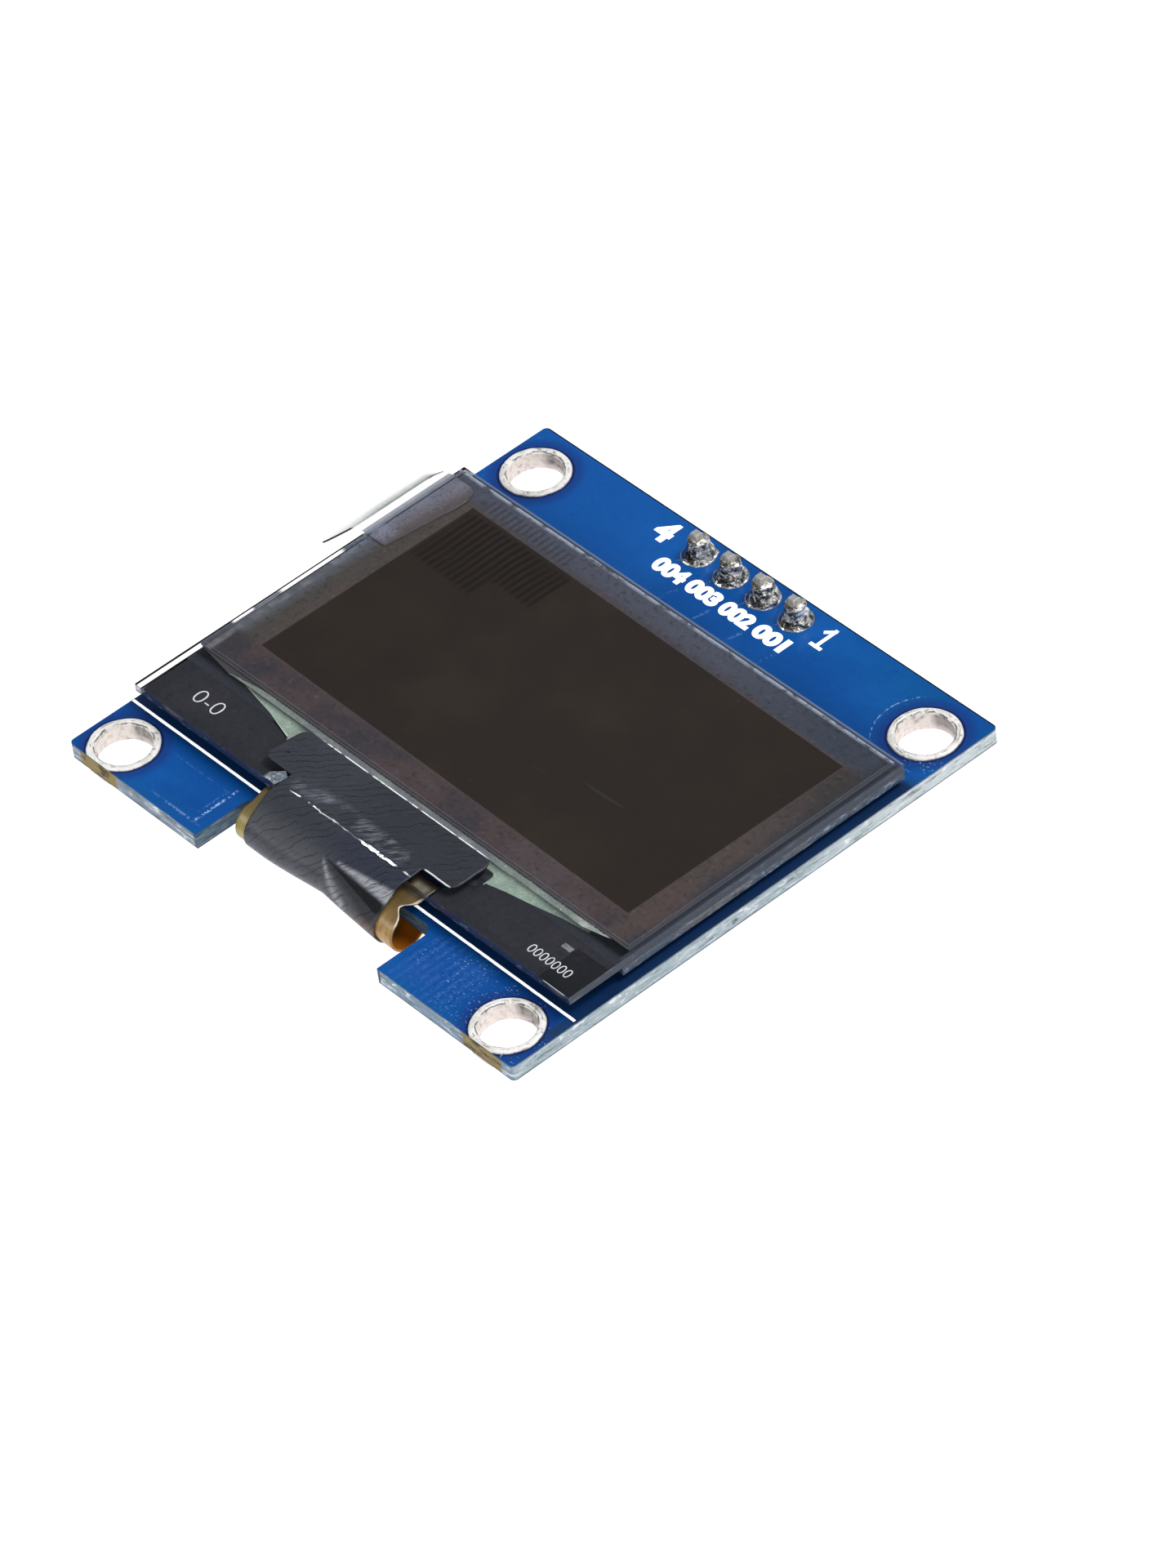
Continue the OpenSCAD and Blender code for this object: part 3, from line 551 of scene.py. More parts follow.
def rear_glass():
    """Back plate of the panel: cloudy sheet of glass with ground edges."""
    k = Look("rear_plate", rough=0.25, specular=0.3)
    haze = k.grain(0.5, detail=4, seed=12)
    chips = k.grain(1.6, detail=4, seed=23, stretch=(1, 1, 3), rough=0.65)
    right = k.nx.ramp(0.5, 0.9)
    k.coloured(
        "#3a4049",
        ("#4a515c", haze.ramp(0.45, 0.7)),
        ("#3f4d60", right * 0.9),
        ("#5b5c63", right * haze.ramp(0.45, 0.6)),
        ("#8d9db3", right * chips.ramp(0.54, 0.68) * 0.7),
        ("#1d2533", right * chips.ramp(0.45, 0.34) * 0.7),
    )
    return k.bumped(chips, 0.03, 0.4)


def emitter_film():
    k = Look("emitter_film", rough=0.3)
    k.coloured("#2a2725", ("#3a3531", k.x.waves(0.46, 0, 0.6)))
    return k.bumped(k.y.waves(0.46), 0.01, 0.3)


def polarizer_look():
    """Grey border round the brown-black picture area, which is finer than the eye can part."""
    k = Look("polarizer_look", rough=0.4, specular=0.12)
    u, v = k.turned(*PICTURE_PLACE, PICTURE_TURN)
    w, h = PICTURE_W / 2, PICTURE_H / 2
    cloud = k.grain(0.22, detail=4, seed=6)
    mottle = k.grain(3.2, detail=4, seed=16, rough=0.7)
    speckle = k.grain(9, detail=2, seed=18)
    top = v.ramp(h - 0.2, h + 0.5)
    below = v.ramp(0.3 - h, -h - 0.3)
    left = u.ramp(0.3 - w, -w - 0.3) * (1 - top)
    right = u.ramp(w - 0.3, w + 0.3) * (1 - top)
    pale_end = k.x.ramp(polar.x0 + 0.75, polar.x0 + 0.3) * k.y.within(1.2, 5, 0.8)
    border = k.layers(
        "#474449",
        ("#4b4744", left),
        ("#575b62", left * u.ramp(-w - 1.1, -w - 1.8) * 0.9),
        ("#3c393f", below * 0.95),
        ("#4d4543", right),
        ("#4e525f", top * v.ramp(h + 0.2, h + 0.9, 0.5, 1)),
        ("#3d434f", top * k.x.ramp(2, w)),
        ("#383a42", k.x.ramp(polar.x1 - 1, polar.x1 - 0.3) * 0.85),
        ("#3a3838", right * k.y.ramp(3, 7) * 0.8),
        ("#5a4845", u.ramp(-w - 0.8, -w - 0.1) * (1 - top) * cloud.ramp(0.42, 0.6) * 0.5),
        ("#5a4b47", v.ramp(-h - 0.5, -h - 0.05) * below * 0.2),
        ("#5c5a60", cloud.ramp(0.55, 0.75) * 0.3),
        *mottle.specks(("#2b2a2e", 0.49, 0.3, 0.6), ("#6a6870", 0.56, 0.75, 0.4)),
        ("#7f86a0", pale_end * mottle.ramp(0.4, 0.6) * 0.75),
    )
    # Short dark ticks where the wiring leaves the picture area, at one end of the far border
    wired = u.within(0.3 - w, 7.3 - w, 0.5) * v.within(h + 0.25, h + 1.2, 0.2)
    border = k.layers(border, ("#33323a", k.x.waves(0.43).ramp(0.5, 0.8) * wired * 0.6))
    picture = k.layers(
        "#2c2520",
        ("#352d26", cloud.ramp(0.4, 0.7) * 0.8),
        ("#261f1a", u.ramp(-6, 7 - w) * 0.3),
        ("#2a231e", u.ramp(4, w) * 0.5),
        *speckle.specks(("#1f1a16", 0.45, 0.3, 0.45), ("#40372f", 0.58, 0.75, 0.5)),
    )
    # Faint columns of the wiring in one corner, ending in a step
    step = u.ramp(5.1 - w, 5.2 - w) * 1.5 + h - 4.6
    corner = u.within(0.3 - w, 8.3 - w, 0.2) * (v - step).ramp(-0.2, 0.2) * v.ramp(h - 0.1, h - 0.4)
    columns = (u + cloud * 0.6).waves(0.46).ramp(0.35, 0.7)
    picture = k.layers(
        picture,
        ("#15100e", corner * columns * cloud.ramp(0.3, 0.55, 0.35, 0.85)),
        ("#231c18", corner * 0.3),
    )
    lit = u.within(-w, w, 0.03) * v.within(-h, h, 0.03)
    seam = u.within(-w - 0.06, w + 0.06, 0.03) * v.within(-h - 0.06, h + 0.06, 0.03) - lit
    worn = k.grain(0.9, detail=4, seed=26, stretch=(0.6, 1, 1))
    # Painted highlight along the far edge, broken up by a fine noise
    edge_highlight_breaks = k.grain(2.5, seed=36, stretch=(0.6, 1, 1))
    far_edge = k.y.ramp(polar.y1 - 0.26, polar.y1 - 0.12)
    from_left = k.x - polar.x0
    left_edge = from_left.within(0.38, 0.8, 0.12)
    uneven = mottle.ramp(0.35, 0.6, 0.3, 0.9)
    # White lines along the left edge, glowing: painted light where light shows through the glass's edge
    edge_glow = k.most(
        from_left.ramp(0.24, 0.21) * k.y.within(-2, 2.3, 0.25),
        from_left.ramp(0.2, 0.14) * k.y.within(-5.3, -3.9, 0.15),
    )
    k.coloured(
        border,
        (picture, lit),
        ("#54484a", seam * 0.4),
        ("#a3adbd", far_edge * edge_highlight_breaks.ramp(0.35, 0.55)),
        ("#86898c", left_edge * worn.ramp(0.4, 0.6, 0.1, 0.6) * k.y.ramp(4, 1)),
        ("#686b70", k.y.ramp(polar.y0 + 0.02, polar.y0 + 0.005) * 0.9),
        ("#5b5d6a", from_left.ramp(0.36, 0.26) * k.y.ramp(3.2, 2.2) * uneven),
        ("#8d8e9a", from_left.ramp(0.3, 0.2) * k.y.within(-3.8, -1.6, 0.4) * 0.85),
        ("#1a1b20", from_left.within(0.24, 0.31, 0.02) * k.y.ramp(-2.7, -2.1) * 0.9),
        ("#7b8291", from_left.ramp(0.24, 0.2) * k.y.ramp(2.4, 3.2) * uneven),
        ("#f5f5f8", edge_glow),
        ("#4c525d", k.x.ramp(polar.x1 - 0.12, polar.x1 - 0.05) * 0.8),
    )
    k.glows(edge_glow * 0.6)
    return k.bumped(mottle, 0.008, 0.3)


def clear_film():
    """Protective film: nearly invisible, with specks, hair scratches and a rim painted paler as a
    highlight.
    """
    k = Look("clear_film", rough=0.22, specular=0.15)
    specks = k.dots(1.6, 0.055, seed=8) * k.grain(0.4, seed=3).ramp(0.52, 0.62)
    rim = 1 - k.inside(film.x0 + 0.06, film.x1 - 0.06, film.y0 + 0.06, film.y1 - 0.06, 0.04)
    hairs = k.grain(0.8, detail=1, seed=15, stretch=(0.1, 1, 1)).ramp(0.74, 0.76)
    k.coloured("#8b93a3", ("#b9bfca", specks))
    haze = k.most(specks * 0.45, rim * 0.25, hairs * 0.05, 0.012)
    k.bumped(k.grain(0.3, detail=2, seed=5), 0.05, 0.3)
    return k.see_through(1 - haze)


def tab_film():
    """Pull tab: milky where it is glued; its free end is clear up to a crease, drawn as a dark line of
    painted shade, and beyond it a painted grey shade stands in for its curling.
    """
    k = Look("tab_film", rough=0.35, specular=0.25)
    out, along, _ = k.split(k.attribute("flat"))
    mottle = k.grain(2.6, detail=4, seed=9)
    fine = k.grain(7, seed=49, rough=0.7)
    cloud = k.grain(0.5, seed=29)
    free = out.ramp(0, 0.01)
    glued = 1 - free
    near = tab.y1 - TAB_L
    near_end = k.inside(glass.x0 + 0.3, glass.x0 + 1.7, near + 0.1, near + 1.3, 0.3)
    margin = k.x.ramp(polar.x0 + 0.31, polar.x0 + 0.24)
    margin_line = k.x.within(polar.x0 + 0.24, polar.x0 + 0.31, 0.02)
    crease = out.within(0.485, 0.515, 0.012)
    bold = out.within(0.455, 0.54, 0.012) * k.most(along.ramp(0.25, 0.21), along.ramp(0.86, 0.9) * 0.8)
    # Painted shade beyond the crease: the flat film is greyed as if it curled away
    curl_shade = out.ramp(0.5, 0.52) * (out.line(0.5, 0.62, 0.2, 0) + out.line(0.5, 0.98, 0.66, 0))
    curl_shade = curl_shade * along.line(0.04, 0.5, 0.25, 1) * along.ramp(1, 0.9) * fine.ramp(0.3, 0.6, 0.75, 1)
    # The glued part turns brown and fades towards its slanted inner edge
    slanted = (k.y - (tab.y1 - 1)) * -0.13 + k.x
    brown = (cloud * 0.4 + slanted).ramp(tab.x1 - 1.3, tab.x1 - 0.1)
    k.coloured(
        "#868997",
        ("#757886", glued * mottle.ramp(0.45, 0.7)),
        ("#989caf", glued * cloud.ramp(0.45, 0.65) * 0.6),
        ("#75696a", glued * brown * 0.85),
        ("#4c4e5a", glued * fine.ramp(0.47, 0.32) * 0.7),
        ("#a4a6b4", glued * fine.ramp(0.57, 0.72) * 0.5),
        ("#8d95a3", glued * margin * mottle.ramp(0.35, 0.6, 0.4, 0.9)),
        ("#14161b", glued * margin_line),
        ("#9fa4bd", glued * near_end * fine.ramp(0.3, 0.65, 0.1, 0.7)),
        ("#fdfdfb", free),
        ("#7a8683", out.ramp(0.5, 0.52)),
        ("#4f5957", crease * 0.8),
        ("#0a0b0d", bold),
    )
    milky = slanted.ramp(tab.x1 + 0.1, tab.x1 + 0.02) * slanted.ramp(tab.x1 + 0.02, tab.x1 - 0.9, 0.4, 0.72)
    haze = k.most(
        glued * milky * mottle.ramp(0.3, 0.7, 0.8, 1),
        glued * margin_line * 0.85,
        crease * along.line(0.1, 0.4, 0.3, 0.8),
        curl_shade,
        bold,
    )
    return k.see_through(1 - haze)


def ledge_black():
    """Black mask behind the ledge, a little mottled, with a painted sheen along its near edge."""
    k = Look("ledge_black", rough=0.45, specular=0.2)
    cloud = k.grain(0.35, detail=4, seed=4)
    mottle = k.grain(4, detail=4, seed=13, rough=0.7)
    shine = k.y.within(glass.y0 + 0.05, glass.y0 + 0.4, 0.15) * cloud.ramp(0.35, 0.6, 0.2, 0.8)
    k.coloured(
        "#2f3137",
        ("#37343c", cloud.ramp(0.45, 0.7)),
        *mottle.specks(("#1f2126", 0.48, 0.3, 0.6), ("#43454e", 0.55, 0.75, 0.5)),
        ("#3f475a", shine * 0.6),
    )
    return k.bumped(mottle, 0.01, 0.3)


def tape_look():
    """Black tape: thin slanted wrinkles, a painted glint along the crease at the glass edge, and painted
    highlights and shadow on a pinched fold.
    """
    k = Look("tape_look", rough=0.42, specular=0.3)
    flat = k.attribute("flat")
    across, along, _ = k.split(flat)
    tilted = k.scaled(flat, turn=-42)
    over, _, _ = k.split(tilted)
    patchy = k.grain(1, seed=5, stretch=(1.6, 0.3, 1), of=tilted)
    bent = k.grain(0.8, seed=85, of=flat) * 0.9 + over
    lines = bent.waves(0.42).ramp(0.87, 0.98) * patchy.ramp(0.42, 0.56)
    hair = k.grain(1, detail=5, seed=15, stretch=(7, 0.9, 1), of=tilted, rough=0.6)
    cloud = k.grain(0.35, seed=25, of=flat)
    speckle = k.grain(7, seed=65, of=flat, rough=0.7)
    ragged = k.grain(1.9, detail=4, seed=35, of=flat)
    broken = k.grain(1.3, detail=2, seed=45, of=flat)
    # The crease: a painted glint with thin bright ends, a grey middle and a thick jagged stretch, and
    # painted shadow just below it
    off = along + ragged * 0.3 - CREASE_AT - 0.15
    thick = across.within(0.85, 3.6, 0.25)
    bright = k.most(across.within(-4.6, -2.7, 0.3), thick, across.within(4.15, 4.5, 0.1))
    glint_breaks = broken.ramp(0.36, 0.44)
    crease = (abs(off) - (thick * 0.05 + 0.02)).ramp(0.03, 0) * across.within(-4.8, 4.7, 0.1)
    crease = crease * k.most(bright * glint_breaks, broken.ramp(0.3, 0.7) * 0.5)
    under = off.within(0.06, 0.15, 0.03) * thick
    # Painted glint along the flap's lower edge at the right
    lower_edge_glint = (along + ragged * 0.1).within(FLAP_END - 0.03, FLAP_END + 0.05, 0.02)
    lower_edge_glint = lower_edge_glint * across.within(4.9, 6.9, 0.1) * glint_breaks
    # The pinch: a painted shadow on a dark facet below a painted highlight on a silver ridge, and a pale
    # painted highlight down the hollow to the fold
    valley_highlight = k.most(
        k.stroke(across, along, (-0.15, 5.5), (0.75, 6.2), (0.05, 0.14), 0.14),
        k.stroke(across, along, (0.75, 6.2), (2, 6.95), (0.14, 0.3), 0.3),
    )
    wedge_shadow = k.most(
        k.stroke(across, along, (0.1, 5.38), (4.4, 5.9), (0.03, 0.34), 0.1),
        k.stroke(across, along, (0.3, 5.5), (4.2, 6.4), (0.02, 0.5), 0.3) * 0.6,
    )
    band_highlight = k.stroke(across, along, (0.8, 5.2), (5, 5.1), (0.04, 0.4), 0.16)
    smudges = along.within(CREASE_AT - 1.2, CREASE_AT - 0.2, 0.25) * across.within(-5, 3.6, 0.4)
    smudges = smudges * k.grain(0.75, detail=2, seed=75, of=flat).ramp(0.42, 0.56)
    # The bend is painted lighter and its lower rim pale, as painted sheen where the tape turns under
    flap = along.ramp(CREASE_AT, CREASE_AT - 0.6)
    bend = along.ramp(CREASE_AT + 1.4, CREASE_AT + 3)
    rim = along.ramp(CREASE_AT + 3.6, CREASE_AT + 4.9)
    shelf = (1 - flap) * (1 - bend) * across.ramp(-1.5, 1.5)
    spot = k.stroke(across, along, (-7.15, FLAP_END - 0.95), (-7.05, FLAP_END - 0.95), (0.05, 0.05), 0.03)
    k.coloured(
        "#383b44",
        ("#3d4049", flap * cloud.ramp(0.35, 0.65)),
        ("#31343c", flap * across.ramp(-3, 1) * 0.85),
        ("#2f3445", shelf * 0.8),
        ("#4b4c55", bend * cloud.ramp(0.3, 0.6, 0.5, 1)),
        ("#8f8a94", rim * 0.72),
        ("#6a4f4a", k.stroke(across, along, (3.4, 7.4), (4.6, 7), (0.3, 0.3), 0.4)),
        ("#7b7f88", smudges * hair.ramp(0.4, 0.62) * 0.75),
        ("#a6a8af", band_highlight * hair.ramp(0.28, 0.58, 0.3, 1)),
        ("#94969e", valley_highlight * hair.ramp(0.25, 0.55, 0.45, 1)),
        *hair.specks(("#24262c", 0.44, 0.33, 0.5), ("#5c5e68", 0.58, 0.72, 0.35)),
        ("#1d1e23", lines * 0.7),
        ("#08090b", wedge_shadow * 0.97),
        *speckle.specks(("#22242a", 0.46, 0.3, 0.5), ("#62646e", 0.58, 0.75, 0.4)),
        ("#0c0d10", k.most(spot, under * 0.8)),
        ("#ffffff", k.most(crease, lower_edge_glint * 0.9)),
    )
    k.roughened(wedge_shadow.line(0, 1, 0.42, 0.85))
    k.glows(crease * 0.5)
    k.bumped(hair, 0.012, 0.6)
    return k.bumped(lines, 0.02, 0.4)


def ribbon_look():
    """Amber ribbon with fine tracks: olive in the shade, brown inside and by the glass, the inside darkened
    towards the loop's top as painted shade.
    """
    k = Look("ribbon_look", rough=0.34, specular=0.5)
    _, _, side = k.split(k.attribute("flat"))
    tracks = k.x.waves(0.42)
    mottle = k.grain(1.6, detail=4, seed=7)
    inside = side.ramp(0.3, -0.3)
    bonded = k.y.ramp(glass.y0 - 0.3, glass.y0 + 0.1)
    high = k.z.ramp(0.9, 1.75)
    x1 = ribbon_box.x1
    patch = k.inside(x1 - 1.2, x1 - 0.25, glass.y0 - 0.1, glass.y0 + 0.7, 0.2)
    bite_y, bite_z = fold_point(FOLD_R, BITE_ANGLE)
    dy, dz = k.y - bite_y, k.z - bite_z
    away = dy * dy + dz * dz
    bite = k.sum("EXPONENT", away * (-1 / BITE_W**2)) * BITE_L
    to_edge = x1 - bite - k.x
    edge_glint = to_edge.ramp(0.12, 0.06) * away.ramp(1.6, 0.8) * k.z.ramp(0.9, 1.2)
    left_glint = k.stroke(k.x - x1, dy, (-1.62, -0.05), (-1.55, 0.15), (0.07, 0.05), 0.03)
    k.coloured(
        "#b38f50",
        *mottle.specks(("#d0b070", 0.5, 0.72, 0.7), ("#7c5a22", 0.45, 0.3, 0.6)),
        ("#a89a58", k.x.ramp(ribbon_box.x0 + 1.5, ribbon_box.x0 + 0.8)),
        ("#8a5c20", tracks * 0.2),
        ("#57492f", high * 0.85),
        ("#a8600f", inside),
        # Painted shade inside the loop, darker towards its top
        ("#2e1d0b", inside * k.z.ramp(0.2, 1)),
        ("#4c4134", bonded * 0.95),
        ("#8a8a76", patch * (1 - inside) * mottle.ramp(0.3, 0.6, 0.6, 0.95)),
        ("#f2ead8", (1 - inside) * k.most(edge_glint * 0.8, left_glint)),
    )
    k.bumped(tracks, 0.01, 0.4)
    return k.bumped(mottle, 0.03, 0.4)


def fan_out():
    """Grey-green field of fine tracks between the chip and the picture area."""
    k = Look("fan_out", specular=0.2)
    lean = k.x / (k.y + 18)
    tracks = lean.waves(0.02)
    cloud = k.grain(0.6, detail=4, seed=8)
    speckle = k.grain(7, seed=18, rough=0.7)
    bright_line = k.stroke(k.x, k.y, (-13.5, -7.55), (-8.6, -8.66), (0.05, 0.03), 0.06)
    k.coloured(
        "#9aada1",
        ("#808f87", tracks * 0.35),
        ("#afc3b4", cloud.ramp(0.5, 0.7) * 0.7),
        ("#6d7975", k.x.ramp(9.5, 13.5) * 0.7),
        *speckle.specks(("#66736d", 0.46, 0.3, 0.6), ("#d5e4d7", 0.56, 0.75, 0.6)),
        ("#e2ebe2", bright_line * 0.8),
    )
    return k.bumped(tracks, 0.005, 0.3)


def white_ink():
    k = Look("white_ink", rough=0.55)
    # The ink glows: painted light that keeps the print white where the panel shades the board
    k.glows(0.75)
    k.coloured("#f6f8fa", ("#cfdaea", k.grain(3.5, detail=4, seed=5).ramp(0.52, 0.75) * 0.6))
    return k.bumped(k.grain(5, seed=3), 0.01, 0.5)


def moulded_black():
    k = Look("moulded_black", specular=0.4)
    grain = k.grain(5, detail=4, seed=3)
    k.coloured("#17181a", ("#2c2e31", grain.ramp(0.5, 0.75)))
    k.roughened(grain.ramp(0.3, 0.7, 0.42, 0.6))
    return k.bumped(grain, 0.02, 0.5)


def pin_plating():
    """Tin plate, a little grey at the sheared ends, with the tips above the board painted white as a
    highlight.
    """
    k = Look("pin_plating", rough=0.3, metal=0.85)
    drawn = k.grain(6, seed=4, stretch=(1, 1, 0.12))
    tip = k.z.ramp(pins[0].z1 - 0.12, pins[0].z1 - 0.02)
    k.coloured("#d6d2c8", ("#a39f95", drawn.ramp(0.45, 0.7)), ("#f6f5f2", tip * 0.9))
    k.roughened(drawn.ramp(0.3, 0.7, 0.22, 0.42))
    return k.bumped(drawn, 0.01, 0.5)


def chip_part(name, body, body_dark, parts, rough):
    """Body with a tinned cap at each end of every one of the parts that wear this look."""
    k = Look(name, rough=rough)
    grain = k.grain(6, detail=4, seed=2)
    caps = 0
    for box in map(Box, parts):
        ends, sides = (k.x - box.x, k.y - box.y), (box.x1 - box.x0, box.y1 - box.y0)
        if sides[0] <= sides[1]:
            ends = ends[::-1]
        cap = abs(ends[0]).within(max(sides) / 2 - 0.3, max(sides) / 2 + 0.1, 0.015)
        caps = k.most(caps, cap * ends[1].within(-0.6, 0.6, 0.02))
    tinned = k.layers("#dcdad5", ("#a19f9a", grain.ramp(0.45, 0.7)))
    k.coloured(body, (body_dark, grain.ramp(0.45, 0.7)), (tinned, caps))
    k.put(k.shader["Metallic"], caps * 0.8)
    k.roughened(grain.ramp(0.3, 0.7, rough - 0.08, rough + 0.12))
    return k.bumped(grain, 0.02, 0.5)


def regulator_look():
    """Moulded body; legs below the parting line are tinned."""
    k = Look("regulator_look", rough=0.45)
    box = Box("voltage_regulator")
    grain = k.grain(6, detail=4, seed=5)
    half_body = (box.y1 - box.y0) / 2 - 0.6
    legs = abs(k.y - box.y).ramp(half_body + 0.01, half_body + 0.04)
    k.coloured("#1c1d1f", ("#303235", grain.ramp(0.5, 0.75)), ("#cfcdc8", legs))
    k.put(k.shader["Metallic"], legs * 0.85)
    return k.bumped(grain, 0.02, 0.5)


def shade_look():
    """Dark bonding between the black masks and the picture area."""
    k = Look("ledge_shade", specular=0.2)
    mottle = k.grain(4, detail=4, seed=33, rough=0.7)
    k.coloured(
        "#34383f",
        *mottle.specks(("#282b31", 0.48, 0.3, 0.6), ("#474b54", 0.55, 0.75, 0.5)),
    )
    return k.bumped(mottle, 0.01, 0.3)


def silver_look():
    """Crumpled silver-grey film by the end of the fold."""
    k = Look("silver_look", rough=0.35, specular=0.5)
    crumple = k.grain(5, detail=4, seed=3, rough=0.6)
    k.coloured("#6d7783", ("#b9c1ca", crumple.ramp(0.54, 0.66)), ("#3d4550", crumple.ramp(0.45, 0.32)))
    return k.bumped(crumple, 0.05, 0.7)


def bead_look():
    """Clear resin along the polarizer's near edge: grey-green at the sides, lilac in the middle."""
    k = Look("bead_look", rough=0.4, specular=0.3)
    worn = k.grain(1.2, detail=4, seed=26, stretch=(0.5, 1, 1))
    speckle = k.grain(7, seed=46, rough=0.7)
    near, far = polar.y0 - BEAD_W, polar.y0
    glint_breaks = k.grain(3.5, detail=2, seed=56).ramp(0.36, 0.48)
    # Painted glint along the near edge, broken up by noise and glowing
    white = k.y.within(near, near + 0.07, 0.02) * k.x.within(-6.2, 6.4, 0.5) * glint_breaks
    beside_flap = k.x.ramp(-6.6, -7.4) * k.x.ramp(BEAD_START, BEAD_START + 0.4)
    dark = k.y.ramp(near + 0.08, near + 0.03) * k.most(beside_flap, k.x.within(8.5, 13, 0.5) * 0.5)
    dots = k.dots(3.2, 0.16, seed=5) * k.x.within(7.5, 14.5, 0.3)
    tips = k.most(k.x.ramp(12.6, 14.2), k.x.ramp(BEAD_START + 1.6, BEAD_START + 0.8))
    # The border runs on beyond the sheet at the left, where the resin starts as a thin line
    rise = (k.x - BEAD_START) * -0.146 + k.y + (speckle - 0.5) * 0.25
    border = rise.ramp(near - 0.01, near + 0.05) * k.x.ramp(-10.9, -11.3)
    border = k.most(border, k.x.ramp(BEAD_START + 0.1, BEAD_START))
    fuzzy = ((speckle - 0.5) * 0.5 + k.y).ramp(far - 0.1, far)
    k.coloured(
        "#7b8480",
        ("#6f7079", k.x.within(-8, 7, 0.8) * 0.9),
        ("#8c9892", worn.ramp(0.45, 0.65) * 0.8),
        *speckle.specks(("#474b4c", 0.47, 0.32, 0.6), ("#a5aca9", 0.57, 0.72, 0.5)),
        ("#c3c8c2", tips * worn.ramp(0.4, 0.6, 0.2, 0.8)),
        ("#dfe4df", dots),
        ("#2a302d", dark * 0.9),
        ("#464446", k.most(fuzzy, border)),
        ("#f4f7fa", white),
    )
    k.glows(white * 0.25)
    return k.bumped(worn, 0.03, 0.5)


# ---- Meshes ----


def piece(name, shape, look, smooth=True, replaced=()):
    """Mesh object from points in millimetres and faces, riding on the part's one body."""
    points, faces = shape
    mesh = bpy.data.meshes.new(name)
    mesh.from_pydata([tuple(mm(*p)) for p in points], [], faces)
    mesh.update()
    work = bmesh.new()
    work.from_mesh(mesh)
    bmesh.ops.recalc_face_normals(work, faces=work.faces)
    work.to_mesh(mesh)
    work.free()
    thing = link(bpy.data.objects.new(name, mesh))
    mesh.polygons.foreach_set("use_smooth", [smooth] * len(mesh.polygons))
    mesh.materials.append(look.material)
    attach(thing, "root")
    if replaced:
        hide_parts(*replaced)
    return thing


def prism(outline, z0, z1):
    """Points and faces of an upright prism."""
    n = len(outline)
    points = [(x, y, z) for z in (z0, z1) for x, y in outline]
    sides = [(i, (i + 1) % n, n + (i + 1) % n, n + i) for i in range(n)]
    return points, [tuple(range(n))[::-1], tuple(range(n, 2 * n)), *sides]


def plate(name, outline, z0, z1, look):
    """Thin flat piece with sharp edges."""
    return piece(name, prism(outline, z0, z1), look, smooth=False)


def lathe(profile, x, y, turns, change):
    """Closed surface of revolution round (x, y); change bends each point of it."""
    m = len(profile)
    points, faces = [], []
    for i in range(turns):
        a = 2 * math.pi * i / turns
        for j, (r, z) in enumerate(profile):
            r, z = change(r, z, a, j)
            points.append((x + r * math.cos(a), y + r * math.sin(a), z))
            here, ahead, up = i * m, (i + 1) % turns * m, (j + 1) % m
            faces.append((here + j, here + up, ahead + up, ahead + j))
    return points, faces


def bumps(x, y, z, per_mm, seed):
    """Smooth noise from -1 to 1."""
    return noise.noise(Vector((x * per_mm + seed, y * per_mm - seed, z * per_mm + 2 * seed)))


def share(v, v0, v1):
    """How far v is from v0 to v1, from 0 to 1."""
    return min(max((v - v0) / (v1 - v0), 0.0), 1.0)


# ---- Tinned rings round the holes ----


def ring_piece(i, look):
    """Domed, lumpy ring on each face and the plated wall between them."""
    top, low = board.z1, board.z0
    rounds = 10
    ups = [0.11 * math.sin(math.pi * k / rounds) ** 0.45 for k in range(rounds)] + [0.0]
    flange = [(LAND_R + (HOLE_R - LAND_R) * k / rounds, up) for k, up in enumerate(ups)]
    profile = [(r, top + 0.005 + up) for r, up in flange]
    profile += [(HOLE_R, top - top * k / 6) for k in range(1, 6)]
    profile += [(r, low - 0.005 - up) for r, up in reversed(flange)]
    profile += [(HOLE_R + WALL_T, low + 0.02), (HOLE_R + WALL_T, top - 0.02)]

    def lumpy(r, z, a, j):
        px, py = r * math.cos(a), r * math.sin(a)
        lump = bumps(px, py, z, 1.3, 7.1 * i) * 0.035 + bumps(px, py, z, 3.4, 3.7 * i) * 0.02
        if j < rounds or rounds + 5 < j < 2 * rounds + 6:
            z += lump * share(r, LAND_R, LAND_R - 0.08) * (1 if z > 0.5 else -1)
            r += bumps(px, py, 0, 1.1, 2.3 * i) * 0.045
        else:
            r += lump * 0.3
        return r, z

    points, faces = lathe(profile, *holes[i - 1], 160, lumpy)
    points = [(x, max(y, board.y0 - 0.003), z) for x, y, z in points]
    node = f"hole_plating_{i}"
    return piece(f"tinned_ring_{i}", (points, faces), look, replaced=[node])


# ---- Solder round the pins ----


